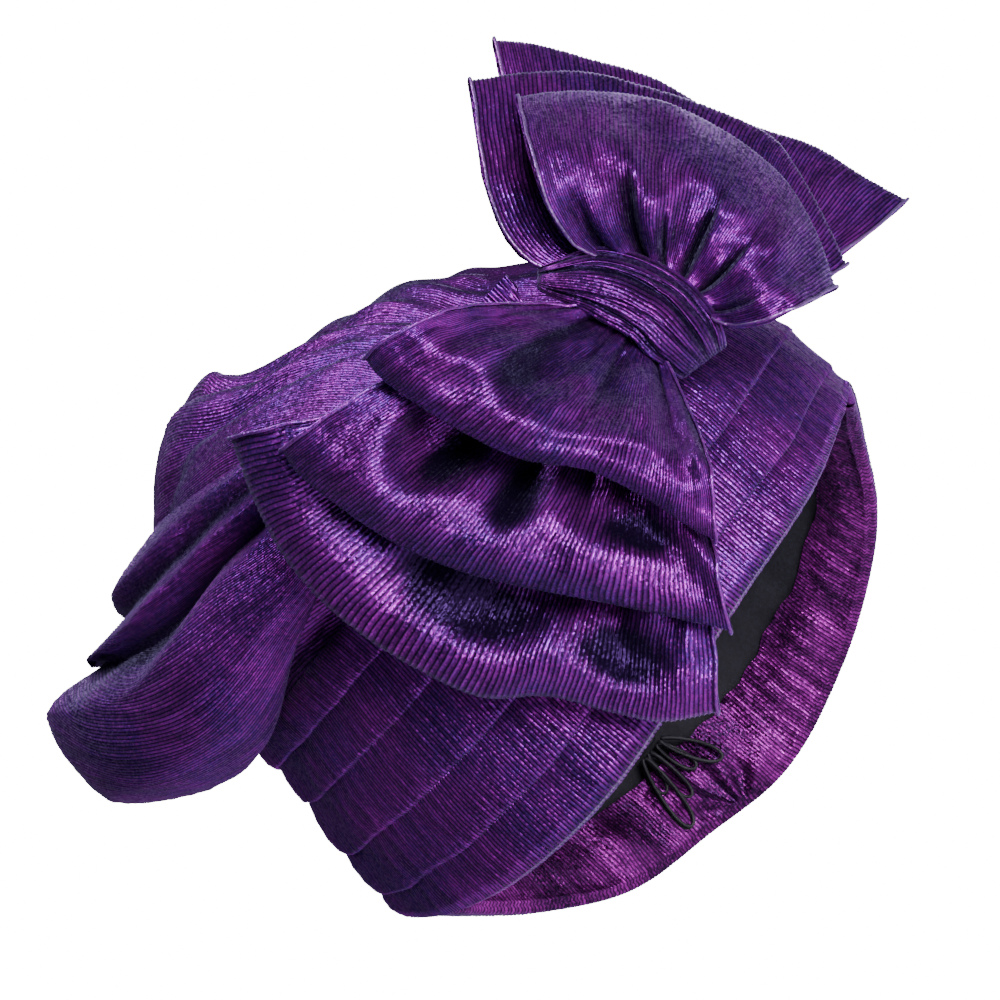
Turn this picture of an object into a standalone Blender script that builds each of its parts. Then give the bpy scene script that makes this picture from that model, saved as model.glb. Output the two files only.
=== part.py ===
"""A pre-tied turban cap of crinkled metallic cloth, in the form that it keeps when it is worn.

+X is the wearer's left, -Y is the front and +Z is the crown. The origin is the middle of the head opening,
at brow level. Every table is in millimetres and degrees, and MM turns its points into metres. The bow's
outlines are given as they are seen from in front, across and up on the plane of the origin, and `seen` sets
each point at its own depth.
"""

import bmesh
import bpy
import numpy as np
from mathutils import Vector

MM = 0.001

# Cloth: wall thicknesses and the gap between two pieces
CLOTH = 1.5
LOOP_CLOTH = 1.2
LINING_CLOTH = 1.0
RIBBON_CLOTH = 1.0
BAND_CLOTH = 2.2
GAP = 0.3

# Points round each of the cap's layers
COLUMNS = 36

# The place from which the outlines were measured, and how often `seen` refines a point
SIGHT_DISTANCE = 1740.0
SIGHT_TILT = np.radians(-4.0)
SIGHT_ROUNDS = 8
AIM_ACROSS = 7.5
AIM_UP = 65.0

# Outside of the cap: the farthest points of each level, left and right, front and back
CAP_LEVELS = (
    # height, left, right, front, back
    (-34.0, -86.5, 86.5, -103.0, 105.0),
    (18.0, -86.5, 86.5, -103.0, 105.5),
    (40.0, -84.0, 87.0, -102.5, 105.0),
    (60.0, -79.5, 82.0, -101.0, 103.5),
    (75.0, -79.0, 75.0, -97.0, 100.0),
    (90.0, -75.0, 63.5, -88.0, 94.0),
    (101.0, -70.0, 51.5, -77.0, 87.0),
    (110.5, -65.0, 43.5, -66.0, 77.0),
    (118.5, -59.5, 32.0, -54.0, 65.0),
    (124.5, -54.5, 16.0, -44.0, 54.0),
    (129.0, -49.5, 0.0, -35.0, 43.0),
    (134.0, -42.5, -10.0, -26.0, 31.0),
    (138.0, -36.0, -14.5, -17.0, 20.0),
    (141.0, -29.0, -19.0, -8.0, 9.0),
)

# Height of the rim all round, by the angle from the front
RIM = (
    # angle, height
    (-165.0, -27.5),
    (-145.0, -21.0),
    (-131.0, -9.5),
    (-115.0, 5.0),
    (-90.0, 17.5),
    (-75.0, 12.0),
    (-60.0, 4.4),
    (-42.0, -3.2),
    (-18.0, -7.0),
    (0.0, -4.5),
    (18.0, -0.6),
    (43.0, 4.4),
    (63.0, 11.3),
    (90.0, 17.0),
    (111.0, 7.5),
    (126.0, -6.5),
    (141.0, -16.5),
    (157.0, -25.0),
    (180.0, -31.5),
)

# Tucks of the brow band: the height of each line is level plus follow times the rim's height
TUCKS = (
    # level, follow
    (0.0, 1.0),
    (13.5, 0.62),
    (29.0, 0.5),
    (46.0, 0.36),
    (59.0, 0.25),
    (69.0, 0.12),
)
TUCK_PROFILE = (
    # share of the tuck's height, relief
    (0.0, -1.0),
    (0.22, 0.9),
    (0.65, 0.6),
)

# Rows of the wall that the band, the crown and the lining share: shares of the way from the rim to the first
# level, then the levels, with the depth of each inner layer below the cap's outside
WALL_SHARES = (0.0, 0.33, 0.67)
WALL_LEVELS = (60.0, 72.0)
CROWN_DEPTH = 2.8
LINING_DEPTH = 4.7

# Crown above the band
CROWN_LEVELS = (78.0, 90.0, 101.0, 110.5, 118.5, 124.5, 129.0, 134.0, 138.0, 141.0)

# Folds of the crown, which spread over it from the bow: their directions in plan and their size. They deepen
# over the first stretch, fade over the last one, and start above the wall.
CROWN_FOLDS_FROM = (50.0, -78.0)
CROWN_FOLD_START = 25.0
CROWN_FOLD_REACH = 190.0
CROWN_FOLD_FADE = 60.0
CROWN_FOLD_RISE = 15.0
CROWN_FOLDS = (
    # direction from +X, depth, half width
    (97.0, 2.2, 7.0),
    (112.0, 2.8, 6.5),
    (126.0, 3.2, 6.5),
    (138.0, 2.4, 6.0),
    (151.0, 2.6, 6.0),
)

# Dome of the lining: an ellipse in section, from the top of the wall to the crown of the head
DOME_MIDDLE = 35.0
DOME_TOP = 107.0
DOME_LEVELS = (80.0, 90.0, 98.0, 104.0, 106.4)

# Facing turned in round the nape
FACING_FROM = 100
FACING_TO = 260
FACING_TAPER = 0.35
FACING_TAPER_TURN = 80
FACING_HEIGHT = 23.0
FACING_SHARES = (0.0, 0.33, 0.67, 1.0)
FACING_CLOTH = 1.0
FACING_GAP = 0.6

# Side drape: how far each fold stands off the cap and its height, at stations in degrees from the front
# towards the wearer's right
DRAPE_STATIONS = (12.0, 32.0, 52.0, 75.0, 100.0, 125.0, 148.0)
DRAPE_STANDS = (
    # fold, then the stand at each station
    ("lower hem", 1.9, 2.1, 2.8, 3.3, 3.3, 2.2, 1.9),
    ("lower roll", 5.5, 9.0, 14.0, 16.0, 14.0, 6.5, 2.4),
    ("belly", 9.0, 16.0, 28.0, 40.0, 34.0, 14.0, 2.9),
    ("front fold", 11.0, 19.0, 35.0, 46.0, 38.0, 16.0, 3.2),
    ("front groove", 6.0, 11.0, 25.0, 35.0, 28.0, 10.0, 2.6),
    ("middle fold", 10.0, 16.0, 28.0, 31.0, 26.0, 12.0, 3.0),
    ("middle groove", 5.5, 9.0, 21.0, 24.0, 19.0, 7.0, 2.4),
    ("back fold", 6.5, 10.0, 19.0, 19.0, 15.0, 7.0, 2.6),
    ("upper hem", 1.8, 1.8, 1.9, 1.9, 1.9, 1.8, 1.8),
)
DRAPE_HEIGHTS = (
    # fold, then the height at each station
    ("lower hem", 81.0, 77.0, 71.0, 74.0, 78.0, 84.0, 90.0),
    ("lower roll", 80.0, 74.0, 64.5, 70.0, 75.0, 82.0, 89.5),
    ("belly", 87.0, 83.0, 77.0, 88.0, 89.0, 89.0, 92.0),
    ("front fold", 94.0, 97.0, 98.0, 113.0, 109.0, 98.0, 94.5),
    ("front groove", 97.0, 99.5, 101.0, 111.5, 109.5, 101.0, 96.5),
    ("middle fold", 103.0, 107.0, 110.0, 116.0, 113.5, 104.5, 98.5),
    ("middle groove", 106.0, 110.0, 112.5, 115.5, 113.5, 107.0, 100.5),
    ("back fold", 111.0, 116.5, 119.5, 122.0, 119.0, 111.5, 102.5),
    ("upper hem", 113.0, 119.0, 123.0, 124.5, 121.0, 113.5, 104.0),
)
DRAPE_COLUMNS = 16
DRAPE_ROWS = 22

# Line in plan that the bow lies along, just clear of the band
BOW_LINE = (
    # across, depth
    (-45.0, -105.0),
    (-20.0, -105.0),
    (0.0, -104.2),
    (20.0, -101.3),
    (40.0, -92.7),
    (58.0, -80.3),
    (75.0, -65.0),
    (100.0, -41.0),
    (132.0, -11.0),
)

# Strip round the middle of the bow, a rounded box in section, and the stretch that the loops' necks enter
KNOT = (
    # share of its height, across, up, half width
    (0.0, 67.0, 48.5, 7.0),
    (0.25, 69.0, 58.0, 8.7),
    (0.5, 69.3, 69.0, 9.2),
    (0.75, 65.0, 82.0, 8.5),
    (1.0, 55.5, 94.0, 5.5),
)
KNOT_MIDDLE = 9.95
KNOT_HALF_DEPTH = 11.0
KNOT_SQUARENESS = 5.0
KNOT_STEPS = 24
KNOT_SLOPE_STEP = 0.01
KNOT_COLUMNS = 7
KNOT_PLEATS = 3
KNOT_PLEAT_DEPTH = 0.35
NECK_LOW = 0.2
NECK_HIGH = 0.75
NECK_REACH = 0.84

# Bow loops. Each end row is a place on the folded end: across, up, and how far the cloth bulges on its way.
# Each layer row is a share of the way from the knot, with the depths of the two layers before the bow's line.
# `round` is the share of the way that the folded end takes.
LOOPS = {
    "loop_left_back": {
        "side": -1,
        "bulge_at": 0.6,
        "round": 0.13,
        "ends": (
            # across, up, bulge
            (3.0, -11.0, -2.0),
            (-8.0, -2.0, -2.0),
            (-15.0, 10.0, -1.0),
            (-22.0, 24.0, -1.0),
            (-33.0, 36.5, 0.0),
            (-38.5, 55.0, 0.0),
            (-41.0, 76.0, 0.0),
            (-39.0, 95.0, -1.0),
            (-33.0, 111.0, -3.0),
            (-24.5, 126.5, -4.0),
        ),
        "layers": (
            # along, back, front
            (0.0, 1.6, 5.6),
            (0.1, 1.6, 5.7),
            (0.4, 1.5, 9.5),
            (0.75, 1.4, 14.0),
            (1.0, 1.4, 14.0),
        ),
        "folds": 2.5,
        "fold_depth": 0.5,
    },
    "loop_left_middle": {
        "side": -1,
        "bulge_at": 0.6,
        "round": 0.13,
        "ends": (
            (20.5, -0.5, 0.0),
            (14.5, 11.0, 0.0),
            (5.0, 28.5, 0.0),
            (-5.0, 46.0, 0.0),
            (-13.0, 62.0, 0.0),
            (-18.0, 79.0, 0.0),
            (-20.0, 94.0, 1.0),
            (-20.5, 107.0, 2.5),
            (-18.5, 115.0, 4.0),
        ),
        "layers": (
            (0.0, 7.2, 11.2),
            (0.1, 7.5, 11.4),
            (0.4, 13.0, 19.5),
            (0.75, 17.0, 30.0),
            (1.0, 17.5, 31.0),
        ),
        "folds": 2.5,
        "fold_depth": 0.6,
    },
    "loop_left_front": {
        "side": -1,
        "bulge_at": 0.6,
        "round": 0.16,
        "ends": (
            (35.0, 17.0, -3.0),
            (33.0, 26.0, -2.5),
            (31.5, 38.0, -2.0),
            (27.5, 53.0, -1.0),
            (19.0, 67.0, 0.0),
            (14.5, 82.0, 1.0),
            (12.0, 97.0, 3.0),
            (11.2, 108.0, 5.0),
            (12.5, 114.5, 6.0),
        ),
        "layers": (
            (0.0, 12.8, 16.8),
            (0.13, 13.4, 17.0),
            (0.4, 20.5, 31.0),
            (0.75, 29.5, 42.0),
            (1.0, 33.0, 45.0),
        ),
        "folds": 2.5,
        "fold_depth": 1.6,
    },
    "loop_right_back": {
        "side": 1,
        "bulge_at": 0.33,
        "round": 0.06,
        "ends": (
            (130.7, 36.2, -5.0),
            (128.0, 50.0, -4.0),
            (126.0, 63.0, -3.0),
            (121.0, 75.0, -1.0),
            (116.0, 88.0, 0.0),
            (112.5, 105.0, 3.0),
            (106.0, 119.5, 5.0),
            (99.5, 133.0, 7.0),
            (93.5, 141.5, 9.0),
        ),
        "layers": (
            (0.0, 1.6, 5.6),
            (0.5, 1.6, 6.5),
            (1.0, 1.6, 5.5),
        ),
        "folds": 2.5,
        "fold_depth": 0.2,
    },
    "loop_right_middle": {
        "side": 1,
        "bulge_at": 0.33,
        "round": 0.07,
        "ends": (
            (108.5, 37.5, -5.0),
            (114.5, 51.0, -4.0),
            (119.0, 63.5, -2.0),
            (120.7, 73.0, 0.0),
            (117.0, 87.0, 1.0),
            (110.5, 103.0, 3.0),
            (103.0, 118.0, 5.0),
            (93.0, 129.5, 10.0),
            (82.0, 139.2, 13.5),
        ),
        "layers": (
            (0.0, 7.2, 11.2),
            (0.5, 8.2, 12.6),
            (1.0, 8.0, 11.8),
        ),
        "folds": 2.5,
        "fold_depth": 0.3,
    },
    "loop_right_front": {
        "side": 1,
        "bulge_at": 0.33,
        "round": 0.08,
        "ends": (
            (102.5, 36.0, -5.0),
            (109.5, 48.0, -4.0),
            (114.0, 60.0, -3.0),
            (115.2, 70.0, -1.0),
            (113.8, 84.0, 0.0),
            (109.5, 99.5, 2.0),
            (101.0, 113.0, 4.0),
            (93.0, 122.0, 6.0),
            (86.5, 127.5, 8.0),
        ),
        "layers": (
            (0.0, 12.8, 16.8),
            (0.13, 13.4, 17.0),
            (0.35, 15.5, 28.0),
            (0.7, 15.5, 22.0),
            (1.0, 14.5, 18.0),
        ),
        "folds": 2.5,
        "fold_depth": 1.4,
    },
}
LOOP_ROWS = 10
LOOP_FLAT_STEPS = 5
LOOP_ROUND_STEPS = 3
LOOP_FOLD_FADE = 1.5

# Small end of cloth behind the knot
TAB = (
    # across, up
    (42.0, 84.0),
    (46.5, 84.0),
    (43.0, 101.0),
    (51.5, 100.5),
)
TAB_FORWARD = 0.35
TAB_CLOTH = 0.8
TAB_ROWS = 4

# Ribbon bow inside the nape: loops hanging from a small knot on the lining
RIBBON_HEIGHT = -2.0
RIBBON_WIDTH = 5.0
RIBBON_STAND = 4.4
RIBBON_SWELL = 1.6
RIBBON_STEPS = 16
RIBBON_LOOPS = (
    # name, place round the nape, length, lean from straight down
    ("ribbon_loop_left", -19.5, 21.0, -14.0),
    ("ribbon_loop_right", -13.5, 16.0, 24.0),
)
RIBBON_KNOT_PLACE = -16.5
RIBBON_KNOT = (8.0, 4.0, 6.0)

# Colours, as linear red, green and blue
PURPLE = (0.075, 0.022, 0.16)
DARK_PURPLE = (0.055, 0.018, 0.12)
BRIGHT_PURPLE = (0.16, 0.02, 0.24)
BLACK = (0.012, 0.011, 0.014)
CLOTH_ROUGHNESS = 0.42
METALLIC_SHEEN = 0.6
SHARP_FROM = np.radians(60)


def read_table(keys, rows, at, period=None):
    """The table's values at each of `at`, on a smooth curve through its rows."""
    keys = np.asarray(keys, float)
    rows = np.asarray(rows, float)
    at = np.asarray(at, float)
    if period is None:
        at = np.clip(at, keys[0], keys[-1])
    else:
        keys = np.concatenate([keys[-2:] - period, keys, keys[:2] + period])
        rows = np.concatenate([rows[-2:], rows, rows[:2]])
        at = keys[1] + np.mod(at - keys[1], period)
    slopes = np.gradient(rows, keys, axis=0)
    low = np.clip(np.searchsorted(keys, at, side="right") - 1, 0, len(keys) - 2)
    width = keys[low + 1] - keys[low]
    share = (at - keys[low]) / width
    if rows.ndim > 1:
        width = width[..., None]
        share = share[..., None]
    start, end = rows[low], rows[low + 1]
    curve_in, curve_out = slopes[low] * width, slopes[low + 1] * width
    return (
        (2 * share**3 - 3 * share**2 + 1) * start
        + (share**3 - 2 * share**2 + share) * curve_in
        + (3 * share**2 - 2 * share**3) * end
        + (share**3 - share**2) * curve_out
    )


def column(table, index):
    return [row[index] for row in table]


def closed_mesh(name, outer, inner, color, around=False, domed=False):
    """An object between two grids of points: rows of points in mm, bridged at their edges.

    `around` closes each row on itself, and `domed` closes each grid's last row with one face."""
    mesh = bmesh.new()
    front, back = (
        [[mesh.verts.new(Vector(point) * MM) for point in row] for row in grid] for grid in (outer, inner)
    )
    columns = len(outer[0])
    steps = [(c, (c + 1) % columns) for c in range(columns if around else columns - 1)]
    for grid in (front, back):
        for low, high in zip(grid, grid[1:]):
            for c, d in steps:
                mesh.faces.new((low[c], low[d], high[d], high[c]))
        if domed:
            mesh.faces.new(grid[-1])
    for end in (0,) if domed else (0, -1):
        for c, d in steps:
            mesh.faces.new((front[end][c], front[end][d], back[end][d], back[end][c]))
    if not around:
        for c in (0, -1):
            for row in range(len(outer) - 1):
                mesh.faces.new((front[row][c], front[row + 1][c], back[row + 1][c], back[row][c]))
    bmesh.ops.recalc_face_normals(mesh, faces=mesh.faces)
    data = bpy.data.meshes.new(name)
    mesh.to_mesh(data)
    mesh.free()
    data.shade_smooth()
    data.set_sharp_from_angle(angle=SHARP_FROM)
    piece = bpy.data.objects.new(name, data)
    bpy.context.collection.objects.link(piece)
    data.materials.append(cloth_material(name, color))
    return piece


def cloth_material(name, color):
    material = bpy.data.materials.new(name + "_cloth")
    material.use_nodes = True
    shader = material.node_tree.nodes["Principled BSDF"]
    shader.inputs["Base Color"].default_value = (*color, 1)
    shader.inputs["Roughness"].default_value = CLOTH_ROUGHNESS
    shader.inputs["Metallic"].default_value = 0.0 if color == BLACK else METALLIC_SHEEN
    return material


def sides_of(sheet, thickness, around=False):
    """The two faces of a sheet: its grid of points moved half a thickness to each side."""
    sheet = np.asarray(sheet, float)
    if around:
        across = np.roll(sheet, -1, 1) - np.roll(sheet, 1, 1)
    else:
        across = np.gradient(sheet, axis=1)
    normal = np.cross(across, np.gradient(sheet, axis=0))
    normal = normal / np.linalg.norm(normal, axis=2, keepdims=True)
    return sheet + normal * thickness / 2, sheet - normal * thickness / 2


def sheet_solid(name, sheet, thickness, color, around=False):
    outer, inner = sides_of(sheet, thickness, around)
    return closed_mesh(name, outer, inner, color, around)


def rim_height(angle):
    return read_table(column(RIM, 0), column(RIM, 1), angle, period=360)


def cap_point(angle, height, stand=0.0):
    """A point `stand` outside the cap's outline of this height, at an angle in degrees from the front."""
    left, right, front, back = np.moveaxis(
        read_table(column(CAP_LEVELS, 0), [row[1:] for row in CAP_LEVELS], height), -1, 0
    )
    turn = np.radians(angle)
    x = (left + right) / 2 + ((right - left) / 2 + stand) * np.sin(turn)
    y = (front + back) / 2 - ((back - front) / 2 + stand) * np.cos(turn)
    return np.stack(np.broadcast_arrays(x, y, height), axis=-1)


def angles():
    return np.arange(COLUMNS) * 360 / COLUMNS


def wall_heights(turn):
    """Heights of the rows that the cap's layers share, from just over the rim up."""
    rim = rim_height(turn) + GAP
    rows = [rim + (WALL_LEVELS[0] - rim) * share for share in WALL_SHARES]
    return rows + [np.full(len(turn), level) for level in WALL_LEVELS]


def lining_grid(depth):
    """Rows from the rim up the wall, then over the dome, `depth` inside the cap's outside."""
    turn = angles()
    rows = [cap_point(turn, height, -depth) for height in wall_heights(turn)]
    wall_top = rows[-1]
    rise = DOME_TOP - DOME_MIDDLE
    wall_share = np.sqrt(1 - ((WALL_LEVELS[-1] - DOME_MIDDLE) / rise) ** 2)
    for level in DOME_LEVELS:
        share = np.sqrt(1 - ((level - DOME_MIDDLE) / rise) ** 2) / wall_share
        row = wall_top * (share, share, 1)
        row[:, 2] = level + LINING_DEPTH - depth
        rows.append(row)
    return rows


def make_lining():
    outer = lining_grid(LINING_DEPTH)
    inner = lining_grid(LINING_DEPTH + LINING_CLOTH)
    closed_mesh("head_lining", outer, inner, BLACK, around=True, domed=True)


def crown_fold_depth(points):
    """How far the crown's folds sink it at these points: valleys that spread from the bow and fade."""
    away = points[..., :2] - CROWN_FOLDS_FROM
    sink = np.zeros(away.shape[:-1])
    for direction, depth, half_width in CROWN_FOLDS:
        turn = np.radians(direction)
        along = away[..., 0] * np.cos(turn) + away[..., 1] * np.sin(turn)
        aside = away[..., 1] * np.cos(turn) - away[..., 0] * np.sin(turn)
        near = np.clip(along / CROWN_FOLD_START, 0, 1)
        far = np.clip((CROWN_FOLD_REACH - along) / CROWN_FOLD_FADE, 0, 1)
        sink += depth * near * far * np.exp(-((aside / half_width) ** 2))
    return sink * np.clip((points[..., 2] - WALL_LEVELS[-1]) / CROWN_FOLD_RISE, 0, 1)


def make_crown():
    """Rows up inside the band, then the soft crown above it with its folds."""
    turn = angles()
    rows = [cap_point(turn, height, -CROWN_DEPTH - CLOTH / 2) for height in wall_heights(turn)]
    rows += [cap_point(turn, np.full(COLUMNS, height), -CLOTH / 2) for height in CROWN_LEVELS]
    sheet = np.array(rows)
    outer, inner = sides_of(sheet, 1, around=True)
    sheet = sheet + (inner - outer) * crown_fold_depth(sheet)[..., None]
    outer, inner = sides_of(sheet, CLOTH, around=True)
    closed_mesh("cap_crown", outer, inner, PURPLE, around=True, domed=True)


def tuck_height(tuck, turn):
    level, follow = tuck
    return level + follow * rim_height(turn)


def make_band():
    turn = angles()
    outer = []
    for low, high in zip(TUCKS, TUCKS[1:]):
        bottom, top = tuck_height(low, turn), tuck_height(high, turn)
        for share, relief in TUCK_PROFILE:
            outer.append(cap_point(turn, bottom + (top - bottom) * share, relief))
    top = tuck_height(TUCKS[-1], turn)
    outer.append(cap_point(turn, top, TUCK_PROFILE[0][1]))
    inside = -BAND_CLOTH - GAP / 2
    inner = [cap_point(turn, height, inside) for height in wall_heights(turn)[:-1] + [top]]
    closed_mesh("brow_band", outer, inner, DARK_PURPLE, around=True)


def make_facing():
    """The cloth turned in round the nape: a strip that lies on the lining, from the rim up."""
    turn = angles()
    turn = turn[(turn >= FACING_FROM) & (turn <= FACING_TO)]
    middle, half = (FACING_FROM + FACING_TO) / 2, (FACING_TO - FACING_FROM) / 2
    taper = np.cos(np.radians((turn - middle) / half * FACING_TAPER_TURN)) ** FACING_TAPER
    depth = LINING_DEPTH + LINING_CLOTH + FACING_GAP + FACING_CLOTH / 2
    bottom = rim_height(turn) + GAP
    sheet = [cap_point(turn, bottom + FACING_HEIGHT * taper * share, -depth) for share in FACING_SHARES]
    sheet_solid("nape_facing", sheet, FACING_CLOTH, BRIGHT_PURPLE)


def make_drape():
    stations = np.linspace(DRAPE_STATIONS[0], DRAPE_STATIONS[-1], DRAPE_COLUMNS)
    stands = read_table(DRAPE_STATIONS, np.transpose([row[1:] for row in DRAPE_STANDS]), stations)
    heights = read_table(DRAPE_STATIONS, np.transpose([row[1:] for row in DRAPE_HEIGHTS]), stations)
    folds = np.arange(len(DRAPE_STANDS))
    along = np.linspace(0, folds[-1], DRAPE_ROWS)
    stand = read_table(folds, stands.T, along)
    height = read_table(folds, heights.T, along)
    sheet_solid("side_drape", cap_point(-stations[None, :], height, stand), CLOTH, PURPLE)


def seen(across, up, forward):
    """The point seen at (across, up), `forward` in front of the bow's line."""
    left, high = across - AIM_ACROSS, up - AIM_UP
    line = (column(BOW_LINE, 0), column(BOW_LINE, 1))
    level, drop = np.cos(SIGHT_TILT), np.sin(-SIGHT_TILT)
    x = np.asarray(across, float)
    for _ in range(SIGHT_ROUNDS):
        depth = read_table(*line, x)
        slope = read_table(*line, x + 0.5) - read_table(*line, x - 0.5)
        y = depth - forward * np.sqrt(1 + slope**2)
        away = (y + high * drop) / (level - high * drop / SIGHT_DISTANCE)
        grow = (SIGHT_DISTANCE + away) / SIGHT_DISTANCE
        x = AIM_ACROSS + left * grow
    z = AIM_UP + high * grow * level + away * drop
    return np.stack(np.broadcast_arrays(x, y, z), axis=-1)


def knot_line(share):
    return read_table(column(KNOT, 0), [row[1:] for row in KNOT], share)


def loop_path(round_share):
    """Steps along the front layer, round the folded end and back: the share of the way from the knot, and the
    side, from 1 on the front layer to -1 on the back one."""
    flat = np.linspace(0, 1, LOOP_FLAT_STEPS + 1)[:-1]
    bend = np.linspace(0, np.pi / 2, LOOP_ROUND_STEPS + 1)
    out = np.concatenate([flat * (1 - round_share), 1 - round_share + round_share * np.sin(bend)])
    side = np.concatenate([np.ones(len(flat)), np.cos(bend)])
    return np.concatenate([out, out[-2::-1]]), np.concatenate([side, -side[-2::-1]])


def loop_sheet(loop):
    rows = len(loop["ends"])
    share = np.linspace(0, 1, LOOP_ROWS)
    ends = read_table(np.linspace(0, 1, rows), loop["ends"], share)
    neck = knot_line(NECK_LOW + (NECK_HIGH - NECK_LOW) * share)
    start = neck[:, :2] + np.outer(neck[:, 2] * NECK_REACH * loop["side"], (1, 0))
    way = ends[:, :2] - start
    length = np.linalg.norm(way, axis=1)
    aside = loop["side"] * np.stack([-way[:, 1], way[:, 0]], axis=1) / length[:, None]
    skew = np.log(0.5) / np.log(loop["bulge_at"])
    steps, sides = loop_path(loop["round"])
    layers = read_table(column(loop["layers"], 0), [row[1:] for row in loop["layers"]], steps)
    waves = np.cos(2 * np.pi * loop["folds"] * share)
    sheet = []
    for along, side, (back, front) in zip(steps, sides, layers):
        place = start + way * along + aside * (ends[:, 2] * np.sin(np.pi * along**skew))[:, None]
        fade = np.sin(np.pi * np.clip(along, 0, 1)) ** LOOP_FOLD_FADE
        ripple = loop["fold_depth"] * fade * max(side, 0) * waves
        forward = (back + front) / 2 + side * (front - back) / 2 + ripple
        sheet.append(seen(place[:, 0], place[:, 1], forward))
    return sheet


def make_loops():
    for name, loop in LOOPS.items():
        sheet_solid(name, loop_sheet(loop), LOOP_CLOTH, PURPLE)


def make_knot():
    turn = np.arange(KNOT_STEPS) * 2 * np.pi / KNOT_STEPS
    power = 2 / KNOT_SQUARENESS
    rise = np.sign(np.sin(turn)) * np.abs(np.sin(turn)) ** power
    push = np.sign(np.cos(turn)) * np.abs(np.cos(turn)) ** power
    height = (1 + rise) / 2
    line = knot_line(height)
    run = (knot_line(height + KNOT_SLOPE_STEP) - knot_line(height - KNOT_SLOPE_STEP))[:, :2]
    across_run = np.stack([run[:, 1], -run[:, 0]], axis=1) / np.linalg.norm(run, axis=1)[:, None]
    sheet = []
    for share in np.linspace(-1, 1, KNOT_COLUMNS):
        place = line[:, :2] + across_run * (line[:, 2] * share)[:, None]
        pleat = KNOT_PLEAT_DEPTH * np.cos(np.pi * KNOT_PLEATS * share)
        sheet.append(seen(place[:, 0], place[:, 1], KNOT_MIDDLE + push * (KNOT_HALF_DEPTH + pleat)))
    sheet_solid("bow_knot", sheet, CLOTH, DARK_PURPLE, around=True)


def make_tab():
    low, high = np.array(TAB).reshape(2, 2, 2)
    share = np.linspace(0, 1, TAB_ROWS)[:, None, None]
    rows = low * (1 - share) + high * share
    sheet = [seen(row[:, 0], row[:, 1], TAB_FORWARD) for row in rows]
    sheet_solid("knot_tab", sheet, TAB_CLOTH, PURPLE)


def make_ribbon():
    """Two hanging loops and a knot of narrow black ribbon, on the inside of the nape."""
    depth = LINING_DEPTH + LINING_CLOTH
    radius = CAP_LEVELS[1][2] - depth
    turn = np.arange(RIBBON_STEPS) * 2 * np.pi / RIBBON_STEPS
    for name, place, length, lean in RIBBON_LOOPS:
        fall = length / 2 * (1 - np.cos(turn))
        height = RIBBON_HEIGHT - fall * np.cos(np.radians(lean))
        stand = -depth - RIBBON_STAND - RIBBON_SWELL * np.sin(turn)
        sheet = []
        for edge in (-RIBBON_WIDTH / 2, RIBBON_WIDTH / 2):
            along = place + edge + fall * np.sin(np.radians(lean))
            sheet.append(cap_point(180 - np.degrees(along / radius), height, stand))
        sheet_solid(name, sheet, RIBBON_CLOTH, BLACK, around=True)
    width, thick, tall = RIBBON_KNOT
    sheet = []
    for share in (-0.5, 0.5):
        angle = 180 - np.degrees((RIBBON_KNOT_PLACE + np.array((-0.5, 0.5)) * width) / radius)
        height = RIBBON_HEIGHT + tall * (0.5 + share) + GAP + RIBBON_CLOTH
        sheet.append(cap_point(angle, np.full(2, height), -depth - 2 * GAP - thick / 2))
    sheet_solid("ribbon_knot", sheet, thick, BLACK)


def clear_scene():
    for item in list(bpy.data.objects):
        bpy.data.objects.remove(item)


def main():
    clear_scene()
    make_lining()
    make_crown()
    make_band()
    make_facing()
    make_drape()
    make_loops()
    make_knot()
    make_tab()
    make_ribbon()


main()
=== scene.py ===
"""The looks of a pre-tied turban cap of crinkle-pleated metallic cloth, held up as a head holds it.

The tables of shapes are in millimetres and degrees. +X is the wearer's left, -Y the front and +Z the crown. Each
piece of cloth is a grid of points: its columns lie side by side across the ribs, and its rows follow them.
"""

import bmesh
import bpy
import numpy as np
from mathutils import Matrix, Vector


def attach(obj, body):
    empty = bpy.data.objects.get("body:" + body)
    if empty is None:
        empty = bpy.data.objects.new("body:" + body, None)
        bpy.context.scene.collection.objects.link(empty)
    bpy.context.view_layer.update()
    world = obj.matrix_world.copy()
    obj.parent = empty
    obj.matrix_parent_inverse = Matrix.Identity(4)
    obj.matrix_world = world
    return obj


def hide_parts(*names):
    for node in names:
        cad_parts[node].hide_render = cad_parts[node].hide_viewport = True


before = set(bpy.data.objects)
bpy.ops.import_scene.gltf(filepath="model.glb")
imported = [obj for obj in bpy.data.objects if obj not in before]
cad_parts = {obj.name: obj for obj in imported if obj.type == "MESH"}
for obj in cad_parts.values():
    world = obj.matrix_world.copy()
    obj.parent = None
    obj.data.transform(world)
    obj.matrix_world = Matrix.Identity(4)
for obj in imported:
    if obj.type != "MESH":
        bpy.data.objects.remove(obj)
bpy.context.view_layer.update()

MM = 0.001
GAP = 0.3

# The photograph's place: its distance, its tilt, the point in the middle of the picture and the roll
SIGHT_DISTANCE = 1740.0
SIGHT_TILT = np.radians(-4.0)
SIGHT_ROUNDS = 8
AIM_ACROSS = 7.5
AIM_UP = 65.0
ROLL = np.radians(49.3)
PICTURE_WIDTH = 250.0
SENSOR = 36.0

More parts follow.
